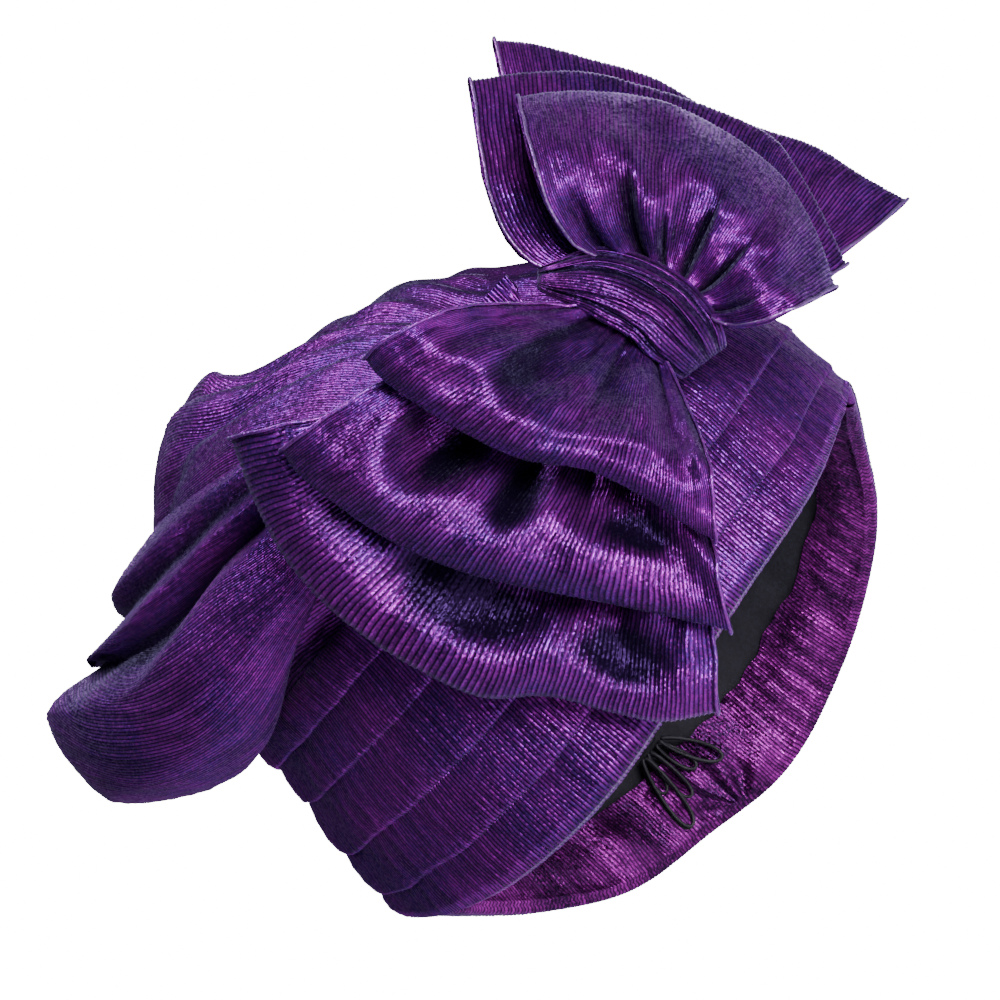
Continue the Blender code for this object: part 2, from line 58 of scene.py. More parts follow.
# Ribs of the cloth: points across each and their shape, their height and the most of it over their width, how far
# they wander and over what length, their least and greatest strength, and the lengths over which it changes a little
RIB_STEPS = 4
RIB_SHAPE = (0.0, 0.84, 1.0, 0.84)
RIB_HEIGHT = 0.42
RIB_STEEPNESS = 0.36
RIB_WANDER = 0.22
RIB_WANDER_LENGTH = 24.0
RIB_STRENGTHS = (0.6, 1.0)
RIB_LENGTHS = (7.0, 22.0)
RIB_CHANGE = 0.2
RIB_SEEDS = {"brow_band": 31, "cap_crown": 43, "nape_facing": 63, "side_drape": 73, "bow_knot": 83, "knot_tab": 87}

# Smooth noise: how many waves make it up, and the least length of one over the longest. The waves, folds and puckers
# of each cloth are then a seed, the longest wave and the height
WAVES = 7
SHORTEST_WAVE = 0.35

# Outside of the cap: the farthest points of each level, left and right, front and back
CAP_LEVELS = (
    # height, left, right, front, back
    (-34, -86.5, 86.5, -103, 105), (18, -86.5, 86.5, -103, 105.5), (40, -84, 87, -102.5, 105),
    (60, -79.5, 82, -101, 103.5), (75, -79, 75, -97, 100), (90, -75, 63.5, -88, 94), (101, -70, 51.5, -77, 87),
    (110.5, -65, 43.5, -66, 77), (118.5, -59.5, 32, -54, 65), (124.5, -54.5, 16, -44, 54),
    (129, -49.5, 0, -35, 43), (134, -42.5, -10, -26, 31), (138, -36, -14.5, -17, 20), (141, -29, -19, -8, 9),
    (141.8, -24, -24, 0.5, 0.5),
)

# Height of the rim all round, by the angle from the front
RIM = (
    # angle, height
    (-165, -27.5), (-145, -21), (-131, -9.5), (-115, 5), (-90, 17.5), (-75, 12), (-60, 4.4), (-42, -3.2),
    (-18, -7), (0, -4.5), (18, -0.6), (43, 4.4), (63, 11.3), (90, 17), (111, 7.5), (126, -6.5), (141, -16.5),
    (157, -25), (180, -31.5),
)

# Tucks of the brow band: the height of each line is level plus follow times the rim's height
TUCKS = (
    # level, follow
    (0, 1), (13.5, 0.62), (29, 0.5), (46, 0.36), (59, 0.25), (69, 0.12),
)
# Section of one tuck: the lip hangs a little over the tuck below it
TUCK_SECTION = (
    # share of the tuck's height, rise over that, relief
    (0, 0, -1), (0, -0.5, -0.5), (0, 0, 0.3), (0.05, 0, 0.65), (0.3, 0, 0.6), (0.65, 0, 0.2), (0.95, 0, -0.4),
)
# The tucks stand out more on the wearer's right, round this angle
TUCK_SIDE = 265.0
TUCK_SIDE_SPREAD = 50.0
TUCK_LEAST = 0.4
BAND_RIBS = 520
BAND_ROLL = 1.2
BAND_ROLL_STEPS = 6
BAND_INSIDE = 6.0
BAND_TOP_DEPTH = 1.2
BAND_RADIUS = 90
# Waves of the tucks, and of the lips between them
TUCK_WAVE = (11, 70.0, 0.4)
LIP_WAVE = (20, 60.0, 0.45)

# Crown: the grid's direction in plan, which the ribs follow, its lowest height and its depth inside the band
CROWN_TURN = np.radians(125)
CROWN_BOTTOM = 50.0
CROWN_RIBS = 270
CROWN_ROWS = 84
CROWN_SAMPLES = 400
CROWN_PUCKERS = (41, 16.0, 0.5)
CROWN_PUCKER_STRETCH = 3
CROWN_DEPTH = 2.8
CROWN_SWELL = 1.8
CROWN_TUCKED_UNDER = 72.0
CROWN_FREE_FROM = 79.0
CROWN_FOLDS_FROM = (50.0, -78.0)
CROWN_FOLD_START = 25.0
CROWN_FOLD_REACH = 190.0
CROWN_FOLD_FADE = 60.0
CROWN_FOLD_RISE = 15.0
CROWN_FOLDS = (
    # direction from +X, depth, half width
    (97, 2.4, 6), (112, 3, 5), (126, 3.4, 5), (138, 2.6, 4.5), (151, 2.8, 4.5),
)

# Lining: its depth at the rim and above, the height over which it gets there, and its dome
LINING_DEPTHS = (3.0, 5.0)
LINING_SETTLE = 14.0
LINING_COLUMNS = 420
LINING_WALL_ROWS = 16
LINING_DOME_ROWS = 16
WALL_TOP = 72.0
DOME_MIDDLE = 35.0
DOME_TOP = 107.0
LINING_START = 1.0
LINING_FOLDS = (51, 22.0, 0.35)
LINING_FOLD_STRETCH = 4
LINING_FOLD_FADES = (12, 40)

# Facing turned in round the nape
FACING_FROM = 99
FACING_TO = 261
FACING_HEIGHTS = (
    # angle, height above the rim
    (99, 6), (108, 13), (125, 16), (145, 19), (165, 22), (182, 24), (195, 22), (220, 21), (261, 14),
)
FACING_RIBS = 240
FACING_RIB_HEIGHT = 0.2
FACING_ROWS = 22
FACING_ROLL = 1.5
FACING_ROLL_FROM = 0.1 * np.pi
FACING_ROLL_STEPS = 6
FACING_START = 0.06
FACING_DEPTHS = (3.6, 5.8)
FACING_CLEAR = 0.8
FACING_SETTLE = 1.5
FACING_PUCKERS = ((62, 26.0, 1.3), (64, 9.0, 0.3))
FACING_PUCKER_STRETCH = 9
FACING_PUCKER_SHARES = (0.03, 0.86)
FACING_EDGE_WAVE = (61, 30.0, 0.6)
# The drawstring's casing ends here, and folds run out from it like a star
GATHER_ANGLE = 188.0
GATHER_REACH = 20.0
GATHER_FOLDS = 7
GATHER_DEPTH = 2.0
GATHER_START = 4
RIM_RADIUS = 95.0

# Side drape: how far each fold stands off the cap and its height, at stations in degrees from the front
# towards the wearer's right
DRAPE_STATIONS = (12, 32, 52, 75, 100, 125, 148)
DRAPE_STANDS = (
    # fold, then the stand at each station
    ("lower hem", 1.9, 2.1, 2.8, 3.3, 3.3, 2.2, 1.9),
    ("lower roll", 5.5, 9, 14, 16, 14, 6.5, 2.4),
    ("belly", 9, 16, 27.5, 37.5, 33, 14, 2.9),
    ("front fold", 11, 19, 34.5, 44.5, 37.5, 16, 3.2),
    ("front groove", 4.5, 8, 18, 25, 19.5, 8, 2.6),
    ("middle fold", 10, 16, 28, 31, 26, 12, 3),
    ("middle groove", 4, 6.5, 14, 16, 13, 6, 2.4),
    ("back fold", 6.5, 10, 19, 19, 15, 7, 2.6),
    ("upper hem", 1.8, 1.8, 1.9, 1.9, 1.9, 1.8, 1.8),
)
DRAPE_HEIGHTS = (
    # fold, then the height at each station
    ("lower hem", 81, 77, 71, 74, 78, 84, 90),
    ("lower roll", 80, 74, 64.5, 70, 75, 82, 89.5),
    ("belly", 87, 83, 77, 88, 89, 89, 92),
    ("front fold", 94, 97, 98, 113, 109, 98, 94.5),
    ("front groove", 97, 99.5, 101, 111.5, 109.5, 101, 96.5),
    ("middle fold", 103, 107, 110, 116, 113.5, 104.5, 98.5),
    ("middle groove", 106, 110, 112.5, 115.5, 113.5, 107, 100.5),
    ("back fold", 111, 116.5, 119.5, 122, 119, 111.5, 102.5),
    ("upper hem", 113, 119, 123, 124.5, 121, 113.5, 104),
)
DRAPE_RIBS = 250
DRAPE_ROWS = 84
DRAPE_SLANT = 0.6
DRAPE_MARGIN = 0.004
DRAPE_SAMPLES = 240
DRAPE_CREASE = 0.4
DRAPE_RIB_HEIGHT = 0.4
DRAPE_SPAN = (240, 60)
DRAPE_PUCKERS = (71, 55.0, 0.9)
# Painted shade on the drape: folds where its colour is darkened, under the lower roll and in the front and middle
# grooves
DRAPE_PAINTED_SHADE_GROOVES = (
    # fold, half width
    (0.3, 0.9), (4, 0.42), (6, 0.42),
)
# How dark the painted shade makes those folds
DRAPE_PAINTED_GROOVE_SHADE = 0.8

# Line in plan that the bow lies along, just clear of the band
BOW_LINE = (
    # across, depth
    (-45, -105), (-20, -105), (0, -104.2), (20, -101.3), (40, -92.7), (58, -80.3), (75, -65), (100, -41),
    (132, -11),
)

# Strip round the middle of the bow, a rounded box in section, and the stretch that the loops' necks enter
KNOT = (
    # share of its height, across, up, half width
    (0, 67, 48.5, 9), (0.25, 69, 58, 10.2), (0.5, 69.3, 69, 10.2), (0.75, 65, 82, 9.2), (1, 55.5, 94, 6),
)
KNOT_MIDDLE = 9.95
KNOT_HALF_DEPTH = 11.0
KNOT_SQUARENESS = 2.1
KNOT_END_PINCHES = (0.25, 0.55)
KNOT_PINCH_POWER = 4
KNOT_BULGE = 4.0
KNOT_CLEAR = 0.4
# Share of the ribs' colour left on the knot, which painted shade dims all over as it faces the lamps
KNOT_DIMMED_BY_PAINTED_SHADE = 0.62
KNOT_STEPS = 160
KNOT_SLOPE_STEP = 0.01
KNOT_RIBS = 20
KNOT_RIB_HEIGHT = 0.35
# Depth of a pleat at which its painted shade is darkest
KNOT_PAINTED_SHADE_DEPTH = 1.4
KNOT_PLEATS = (
    # place across, depth, width before it and after it, slant
    (-0.7, 1, 0.1, 0.03, 0.14), (-0.3, 0.7, 0.06, 0.03, -0.16), (0.34, 1.2, 0.16, 0.03, 0.12),
    (0.56, 0.9, 0.07, 0.03, -0.1), (0.78, 1, 0.08, 0.03, 0.08),
)
NECK_STRETCH = (0.2, 0.75)
NECK_REACH = 0.76

# Bow loops. `side` is the way along X that a loop points, `bulge_at` the share of the way from the knot where the cloth
# bulges most, `round` the share that the folded end takes, `lip` the height of the roll along that end, `thread` and
# `hem_highlight` how much painted pale highlight shows along it and down the loop's sides, and `puckers` their height.
# The rows of the tables hold:
# folds, valleys from the knot: place at the knot and at the end, depth, half width, share of the way where it fades.
#     The lower side of a valley is the sharp one, or its upper side where the half width is below zero
# hollows: middle across and along, half sizes across and along, depth
# ends, places along the folded end: across, up, bulge on the way there
# layers: share of the way, distances of the back and the front layer before the bow's line
LEFT_LOOP = {"side": -1, "bulge_at": 0.6, "hem_highlight": 0.08, "puckers": 1.7}
RIGHT_LOOP = {
    "side": 1,
    "bulge_at": 0.33,
    "lip": 0.0,
    "thread": 0.6,
    "hem_highlight": 0.45,
    "puckers": 0.7,
    "hollows": (),
}
LOOPS = {
    "loop_left_back": {
        **LEFT_LOOP,
        "round": 0.13,
        "lip": 1.6,
        "thread": 0.2,
        "folds": (
            (0.86, 0.88, 3, 0.05, 0.9), (0.7, 0.7, 3.4, 0.04, 0.94), (0.36, 0.35, 3.6, 0.035, 0.9),
            (0.1, 0.08, 2.8, 0.03, 0.9),
        ),
        "hollows": ((0.54, 0.79, 0.125, 0.085, 7), (0.21, 0.84, 0.1, 0.085, 6), (0.8, 0.78, 0.05, 0.12, 3)),
        "ends": (
            (3, -11, -2), (-8, -2, -2), (-15, 10, -1), (-22, 24, -1), (-33, 36.5, 0), (-38.5, 55, 0),
            (-41, 76, 0), (-39, 95, -1), (-33, 111, -3), (-24.5, 126.5, -4),
        ),
        "layers": ((0, 1.6, 5.6), (0.1, 1.6, 5.7), (0.4, 1.5, 8), (0.6, 1.5, 9.5), (0.8, 1.4, 15.5), (1, 1.4, 11)),
    },
    "loop_left_middle": {
        **LEFT_LOOP,
        "round": 0.13,
        "lip": 2,
        "thread": 0,
        "folds": (
            (0.87, 0.88, 2.6, 0.03, 0.86), (0.7, 0.67, 4.2, 0.04, 0.9), (0.52, 0.48, 4.6, 0.035, 0.92),
            (0.35, 0.33, 3.6, 0.035, 0.84), (0.2, 0.18, 3, 0.04, 0.88),
        ),
        "hollows": ((0.475, 0.7, 0.045, 0.12, 5), (0.665, 0.66, 0.05, 0.14, 4.5), (0.2, 0.71, 0.09, 0.08, 5)),
        "ends": (
            (20.5, -0.5, 0), (14.5, 11, 0), (5, 28.5, 0), (-5, 46, 0), (-13, 62, 0), (-18, 79, 0),
            (-20, 94, 1), (-20.5, 107, 2.5), (-18.5, 115, 4),
        ),
        "layers": (
            (0, 7.2, 11.2), (0.1, 7.5, 11.4), (0.4, 13, 18.5), (0.58, 15, 23), (0.78, 16.5, 32.5),
            (1, 17.5, 26),
        ),
    },
    "loop_left_front": {
        **LEFT_LOOP,
        "round": 0.16,
        "lip": 2.2,
        "thread": 0,
        "folds": (
            (0.93, 0.9, 1.6, 0.03, 0.5), (0.765, 0.66, 4.6, -0.06, 0.9), (0.6, 0.45, 2, 0.035, 0.6),
            (0.47, 0.42, 3.2, -0.05, 0.8), (0.2, 0.12, 1.8, 0.04, 0.6),
        ),
        "hollows": ((0.655, 0.56, 0.045, 0.14, 2.6), (0.36, 0.52, 0.06, 0.16, 1.8)),
        "ends": (
            (35, 17, -3), (33, 26, -2.5), (31.5, 38, -2), (27.5, 53, -1), (19, 67, 0), (14.5, 82, 1),
            (12, 97, 3), (11.2, 108, 5), (12.5, 114.5, 6),
        ),
        "layers": ((0, 12.8, 16.8), (0.13, 13.4, 17), (0.4, 20.5, 29), (0.72, 28.5, 45), (1, 33, 40)),
    },
    "loop_right_back": {
        **RIGHT_LOOP,
        "round": 0.06,
        "folds": ((0.2, 0.2, 1.4, 0.05, 0.9), (0.5, 0.5, 1.4, 0.05, 0.9), (0.8, 0.8, 1.4, 0.05, 0.9)),
        "ends": (
            (130.7, 36.2, -5), (128, 50, -4), (126, 63, -3), (121, 75, -1), (116, 88, 0), (112.5, 105, 3),
            (106, 119.5, 5), (99.5, 133, 7), (93.5, 141.5, 9),
        ),
        "layers": ((0, 1.6, 5.6), (0.5, 1.6, 6.5), (1, 1.6, 5.5)),
    },
    "loop_right_middle": {
        **RIGHT_LOOP,
        "round": 0.07,
        "folds": ((0.2, 0.2, 1.2, 0.05, 0.9), (0.5, 0.5, 1.2, 0.05, 0.9), (0.8, 0.8, 1.2, 0.05, 0.9)),
        "ends": (
            (108.5, 37.5, -5), (114.5, 51, -4), (119, 63.5, -2), (120.7, 73, 0), (117, 87, 1), (110.5, 103, 3),
            (103, 118, 5), (93, 129.5, 12), (82, 139.2, 18),
        ),
        "layers": ((0, 7.2, 11.2), (0.5, 8.2, 12.6), (1, 8, 11.8)),
    },
    "loop_right_front": {
        **RIGHT_LOOP,
        "round": 0.08,
        "folds": (
            (0.1, 0.1, 3, 0.03, 0.5), (0.27, 0.28, 4.4, 0.028, 0.66), (0.43, 0.45, 5.4, 0.03, 0.8),
            (0.58, 0.6, 3.4, 0.02, 0.5), (0.68, 0.71, 4.6, 0.026, 0.78), (0.86, 0.88, 3.4, 0.03, 0.5),
        ),
        "ends": (
            (102.5, 36, -5), (109.5, 48, -4), (114, 60, -3), (115.2, 70, -1), (113.8, 84, 0), (109.5, 99.5, 2),
            (101, 113, 4), (93, 122, 6), (86.5, 127.5, 8),
        ),
        "layers": (
            (0, 12.8, 16.8), (0.13, 13.4, 19.5), (0.3, 15, 26.5), (0.5, 15.5, 31.5), (0.66, 16, 32.5),
            (0.8, 16, 28), (1, 14.5, 18.5),
        ),
    },
}
# Ribs of a loop, its steps along the front, the back and half of the folded end, its size to lay puckers on, and seeds
LOOP_RIBS = 104
LOOP_FLAT_STEPS = 40
LOOP_BACK_STEPS = 10
LOOP_ROUND_STEPS = 7
LOOP_SPAN = (110, 60)
LOOP_SEED = 101
LOOP_SEED_STEP = 10
# Valleys of the loops: where they start and fade, their slope, and the widths of their sharp and their other side
FOLD_START = 0.07
FOLD_FADE = 0.6
FOLD_EDGE = 1.4
FOLD_SHARP = 0.45
FOLD_WIDE = 1.3
HOLLOW_EDGE = 1.15
# How much of the room between the layers the front one may sink into, and how dark painted shade makes it there and at
# what depth
SINK_ROOM = 0.85
PAINTED_SINK_SHADE = 0.92
PAINTED_SHADE_DEPTH = 4.5
CREST_SEED = 7
CREST_WANDER = 0.11
CREST_LENGTH = 50.0
PUCKER_SEED = 5
PUCKER_LENGTH = 30.0
LIP_AT = 0.93
LIP_WIDTH = 0.05
HEM_RADIUS = 0.45
HEM_STEPS = 4
HEM_TURN = 1.25 * np.pi
# How much painted pale highlight shows along the band's rolled rim and the loops' hems
HEM_PAINTED_HIGHLIGHT = 0.45

# Small end of cloth behind the knot
TAB = (
    # across, up
    (42, 84), (46.5, 84), (43, 101), (51.5, 100.5),
)
TAB_FORWARD = 0.35
TAB_RIBS = 8
TAB_ROWS = 14
TAB_RIB_HEIGHT = 0.3
TAB_WAVE = (0.5, 3)

# Ribbon bow inside the nape
RIBBON_HEIGHT = -2.0
RIBBON_DEPTH = 5.7
RIBBON_STAND = 4.2
RIBBON_WIDTH = 2.2
RIBBON_STEPS = 72
RIBBON_COLUMNS = 7
RIBBON_FULLNESS = 0.6
RIBBON_SWAY = (0.3, 3)
RIBBON_LOOPS = {
    "ribbon_loop_left": (
        # place round the nape, length, lean from straight down, width of the loop, stand
        (-20.5, 21, -16, 5, 0),
        (-18, 15, -6, 3.6, 1.2),
        (-19.5, 10, -22, 3, 2.2),
    ),
    "ribbon_loop_right": (
        (-13, 16, 26, 4.6, 0),
        (-14.5, 11, 10, 3.4, 1.2),
    ),
}
RIBBON_KNOT_PLACE = -16.5
RIBBON_KNOT = (8.0, 4.0, 6.0)
RIBBON_KNOT_ROWS = 49
RIBBON_KNOT_COLUMNS = 17
RIBBON_KNOT_RISE = 1.3
RIBBON_KNOT_CLEAR = 0.6
RIBBON_KNOT_PINCH = 0.35
RIBBON_KNOT_CREASES = (0.25, 6, 2)

# Colours are linear red, green and blue
SHEEN = (0.52, 0.48, 0.9, 1)
# Colour of the painted pale highlight along hems and folded ends
PAINTED_EDGE_HIGHLIGHT = (0.3, 0.27, 0.42, 1)
FLOOR_COLOR = (0.95, 0.95, 0.96, 1)
WORLD_COLOR = (0.75, 0.78, 0.9, 1)
METALLIC_CLOTHS = {
    # furrow, violet threads, magenta threads, patches of each in a metre
    "wrap_cloth": ((0.011, 0.004, 0.026, 1), (0.09, 0.018, 0.23, 1), (0.35, 0.011, 0.4, 1), 42.0),
    "facing_cloth": ((0.02, 0.004, 0.03, 1), (0.035, 0.008, 0.05, 1), (0.5, 0.025, 0.49, 1), 60.0),
}
METALLIC_GLOSS = {
    "Metallic": 0.82,
    "Specular Tint": (0.7, 0.48, 0.9, 1),
    "Specular IOR Level": 0.25,
    "Sheen Weight": 0.15,
    "Sheen Roughness": 0.35,
    "Sheen Tint": SHEEN,
}
# Flat metal threads: how far each is tipped, and its size in metres
THREAD_TIP = 0.42
THREAD_SIZE = 0.0006
# What is read from the noise, the threads and the ribs: from least and most, to least and most
MAGENTA_BY_PATCH = (0.38, 0.66, 0.0, 0.5)
MAGENTA_BY_THREAD = (0.35, 0.8, 0.0, 0.5)
COLOR_BY_RIB = (0.1, 0.76, 0.0, 1.0)
ROUGHNESS_BY_THREAD = (0.2, 0.9, 0.3, 0.46)
PATCH_DETAIL = 3.0
PLAIN_CLOTHS = {
    # dark, light, roughness, grains in a metre, sheen
    "lining_cloth": ((0.004, 0.004, 0.008, 1), (0.012, 0.013, 0.021, 1), 0.8, 900.0, 0.05),
    "ribbon_satin": ((0.004, 0.004, 0.006, 1), (0.012, 0.013, 0.021, 1), 0.6, 1500.0, 0.02),
}
GRAIN_DETAIL = 4.0
GRAIN_STRENGTH = 0.35
GRAIN_HEIGHT = 0.0004
LIGHT_BY_GRAIN = (0.4, 0.7, 0.0, 1.0)
ROUGHNESS_BY_GRAIN = (0.3, 0.7)
ROUGHNESS_SPREAD = 0.08


def read_table(keys, rows, at, period=None):
    """The values at each of `at`, on a smooth curve through the rows, which lie at the keys."""
    keys = np.asarray(keys, float)
    rows = np.asarray(rows, float)
    at = np.asarray(at, float)
    if period is None:
        at = np.clip(at, keys[0], keys[-1])
    else:
        keys = np.concatenate([keys[-2:] - period, keys, keys[:2] + period])
        rows = np.concatenate([rows[-2:], rows, rows[:2]])
        at = keys[1] + np.mod(at - keys[1], period)
    slopes = np.gradient(rows, keys, axis=0)
    low = np.clip(np.searchsorted(keys, at, side="right") - 1, 0, len(keys) - 2)
    width = keys[low + 1] - keys[low]
    share = (at - keys[low]) / width
    if rows.ndim > 1:
        width = width[..., None]
        share = share[..., None]
    start, end = rows[low], rows[low + 1]
    curve_in, curve_out = slopes[low] * width, slopes[low + 1] * width
    return (
        (2 * share**3 - 3 * share**2 + 1) * start
        + (share**3 - 2 * share**2 + share) * curve_in
        + (3 * share**2 - 2 * share**3) * end
        + (share**3 - share**2) * curve_out
    )


def table_at(table, at, period=None):
    """The table's values at each of `at`, which its first column holds."""
    rows = np.array(table, float)
    return read_table(rows[:, 0], rows[:, 1:], at, period)


def smooth(share):
    share = np.clip(share, 0, 1)
    return share * share * (3 - 2 * share)


def between(low, high, share):
    return low + (high - low) * share


def bump(at, middle, width):
    return np.exp(-(((at - middle) / width) ** 2))


def rim_height(angle):
    return table_at(RIM, angle, period=360)[..., 0]


def cap_point(angle, height, stand=0.0):
    """A point `stand` outside the cap's outline of this height, at an angle in degrees from the front."""
    left, right, front, back = np.moveaxis(table_at(CAP_LEVELS, height), -1, 0)
    turn = np.radians(angle)
    x = (left + right) / 2 + ((right - left) / 2 + stand) * np.sin(turn)
    y = (front + back) / 2 - ((back - front) / 2 + stand) * np.cos(turn)
    return np.stack(np.broadcast_arrays(x, y, height), axis=-1)


def bow_line(across):
    return table_at(BOW_LINE, across)[..., 0]


def seen(across, up, forward):
    """The point seen at (across, up), `forward` in front of the bow's line."""
    left, high = across - AIM_ACROSS, up - AIM_UP
    level, drop = np.cos(SIGHT_TILT), np.sin(-SIGHT_TILT)
    x = np.asarray(across, float)
    for _ in range(SIGHT_ROUNDS):
        depth = bow_line(x)
        slope = bow_line(x + 0.5) - bow_line(x - 0.5)
        y = depth - forward * np.sqrt(1 + slope**2)
        away = (y + high * drop) / (level - high * drop / SIGHT_DISTANCE)
        grow = (SIGHT_DISTANCE + away) / SIGHT_DISTANCE
        x = AIM_ACROSS + left * grow
    z = AIM_UP + high * grow * level + away * drop
    return np.stack(np.broadcast_arrays(x, y, z), axis=-1)


def knot_line(share):
    return table_at(KNOT, share)


def distances(points):
    """Mean distance along the grid: across its columns and along its rows."""
    over = np.linalg.norm(np.diff(points, axis=1), axis=2).mean(0)
    down = np.linalg.norm(np.diff(points, axis=0), axis=2).mean(1)
    return np.concatenate([[0], np.cumsum(over)]), np.concatenate([[0], np.cumsum(down)])


def ripples(across, along, seed, longest, height=1.0):
    """Smooth noise of about the height given over a sheet, from waves of random direction."""
    draw = np.random.default_rng(seed)
    total = 0
    for _ in range(WAVES):
        turn = draw.uniform(0, 2 * np.pi)
        length = longest * draw.uniform(SHORTEST_WAVE, 1)
        phase = draw.uniform(0, 2 * np.pi)
        total = total + np.sin(2 * np.pi * (across * np.cos(turn) + along * np.sin(turn)) / length + phase)
    return height * (total / np.sqrt(WAVES))


def on_ring(angle):
    """Where an angle in degrees lies on a ring of the band's mean radius."""
    return BAND_RADIUS * np.sin(np.radians(angle)), BAND_RADIUS * np.cos(np.radians(angle))


def unit(vectors):
    return vectors / np.maximum(np.linalg.norm(vectors, axis=-1, keepdims=True), 1e-9)


def column_steps(points, around):
    """The way from each point to the next across the sheet, as the mean of its two sides."""
    if around:
        return (np.roll(points, -1, 1) - np.roll(points, 1, 1)) / 2
    return np.gradient(points, axis=1)


def normals(points, around=False):
    return unit(np.cross(column_steps(points, around), np.gradient(points, axis=0)))


def rib_relief(points, seed):
    """The height of the crinkled ribs at each point, from 0 in a furrow to about 1 on a rib."""
    place = np.arange(points.shape[1])
    draw = np.random.default_rng(seed)
    _, along = distances(points)
    rib = place // RIB_STEPS
    shape = np.array(RIB_SHAPE)[place % RIB_STEPS]
    count = rib.max() + 1
    strength = draw.uniform(*RIB_STRENGTHS, count)
    length = draw.uniform(*RIB_LENGTHS, count)
    phase = draw.uniform(0, 2 * np.pi, count)
    vary = 1 - RIB_CHANGE + RIB_CHANGE * np.sin(2 * np.pi * along[:, None] / length[rib] + phase[rib])
    return shape * strength[rib] * vary


def ribbed(points, seed, height=RIB_HEIGHT, around=False, out=1):
    """The sheet with its ribs, which wander a little sideways, and the height of the ribs for its material."""
    across, along = distances(points)
    step = column_steps(points, around)
    height = np.minimum(height, RIB_STEEPNESS * RIB_STEPS * np.linalg.norm(step, axis=2))
    relief = rib_relief(points, seed)
    along = along[:, None]
    if around:
        radius = across[-1] / (2 * np.pi)
        across, along = radius * np.sin(across / radius), radius * np.cos(across / radius) + along
        step = np.roll(points, -1, 1) - points
    wander = ripples(across, along, seed + 1, RIB_WANDER_LENGTH)
    moved = points + normals(points, around) * ((relief - 0.5) * height * out)[..., None]
    return moved + unit(step) * (wander * RIB_WANDER)[..., None], relief


def hemmed(points, relief, inward):
    """The sheet with a narrow rolled hem along its first and last columns. `inward` is the side that it rolls to."""
    normal = normals(points) * inward
    hems = []
    for edge, next_in in ((0, 1), (-1, -2)):
        outward = unit(points[:, edge] - points[:, next_in])
        turns = np.linspace(0, HEM_TURN, HEM_STEPS + 1)[1:]
        hem = [points[:, edge] + HEM_RADIUS * (np.sin(t) * outward + (1 - np.cos(t)) * normal[:, edge]) for t in turns]
        hems.append(np.stack(hem, 1))
    flat = np.ones((len(points), HEM_STEPS))
    points = np.concatenate([hems[0][:, ::-1], points, hems[1]], axis=1)
    return points, np.concatenate([flat, relief, flat], axis=1)


def sheet_object(name, points, material, relief=None, around=False, edge=None):
    """A smooth mesh over a grid of points in mm, with the ribs' height, lowered by painted shade in some folds,
    hollows, grooves and pleats, as its attribute `rib`, and how much painted pale highlight shows along edges as its
    attribute `edge`."""
    rows, columns = points.shape[:2]
    here = np.arange(columns if around else columns - 1)
    beside = (here + 1) % columns
    up = np.arange(rows - 1)[:, None] * columns
    quads = np.stack([up + here, up + beside, up + columns + beside, up + columns + here], -1).reshape(-1, 4)
    mesh = bpy.data.meshes.new(name)
    mesh.vertices.add(rows * columns)
    mesh.vertices.foreach_set("co", (points * MM).astype(np.float32).ravel())
    mesh.loops.add(quads.size)
    mesh.loops.foreach_set("vertex_index", quads.astype(np.int32).ravel())
    mesh.polygons.add(len(quads))
    mesh.polygons.foreach_set("loop_start", np.arange(0, quads.size, 4, dtype=np.int32))
    mesh.update(calc_edges=True)
    mesh.validate()
    mesh.shade_smooth()
    for attribute, values in (("rib", relief), ("edge", edge)):
        if values is not None:
            layer = mesh.attributes.new(attribute, "FLOAT", "POINT")
            layer.data.foreach_set("value", np.clip(values, 0, 1).astype(np.float32).ravel())
    mesh.materials.append(material)
    piece = bpy.data.objects.new(name, mesh)
    bpy.context.collection.objects.link(piece)
    return piece


def dress(piece, node):
    """The piece takes its CAD node's place."""
    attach(piece, "root")
    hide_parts(node)
    return piece


def lay(piece, node):
    """The piece takes its node's place, as dress does."""
    dress(piece, node)


def connect(tree, node, inputs):
    """Sets each of these inputs of the node to a value, or links it to another node's output."""
    for name, value in inputs.items():
        if isinstance(value, bpy.types.NodeSocket):
            tree.links.new(value, node.inputs[name])
        else:
            node.inputs[name].default_value = value


def add_node(tree, kind, inputs, operation=None):
    node = tree.nodes.new(kind)
    if operation:
        node.operation = operation
    connect(tree, node, inputs)
    return node


def attribute(tree, name):
    node = tree.nodes.new("ShaderNodeAttribute")
    node.attribute_name = name
    return node.outputs["Fac"]


def mixed_color(tree, factor, low, high):
    mix = tree.nodes.new("ShaderNodeMix")
    mix.data_type = "RGBA"
    connect(tree, mix, {"Factor": factor, 6: low, 7: high})
    return mix.outputs[2]


def ranged(tree, value, limits):
    names = ("From Min", "From Max", "To Min", "To Max")
    return add_node(tree, "ShaderNodeMapRange", {"Value": value, **dict(zip(names, limits))}).outputs["Result"]


def noise(tree, place, scale, detail):
    return add_node(tree, "ShaderNodeTexNoise", {"Vector": place, "Scale": scale, "Detail": detail}).outputs["Fac"]


def vector(tree, operation, inputs):
    return add_node(tree, "ShaderNodeVectorMath", inputs, operation).outputs[0]


def tipped_normal(tree, threads):
    """The surface's normal, tipped at random in small cells, as the flat metal threads tip."""
    tip = vector(tree, "SCALE", {0: vector(tree, "SUBTRACT", {0: threads, 1: (0.5, 0.5, 0.5)}), "Scale": THREAD_TIP})
    surface = tree.nodes.new("ShaderNodeNewGeometry").outputs["Normal"]
    return vector(tree, "NORMALIZE", {0: vector(tree, "ADD", {0: surface, 1: tip})})


def new_material(name):
    material = bpy.data.materials.new(name)
    material.use_nodes = True
    return material, material.node_tree, material.node_tree.nodes["Principled BSDF"]


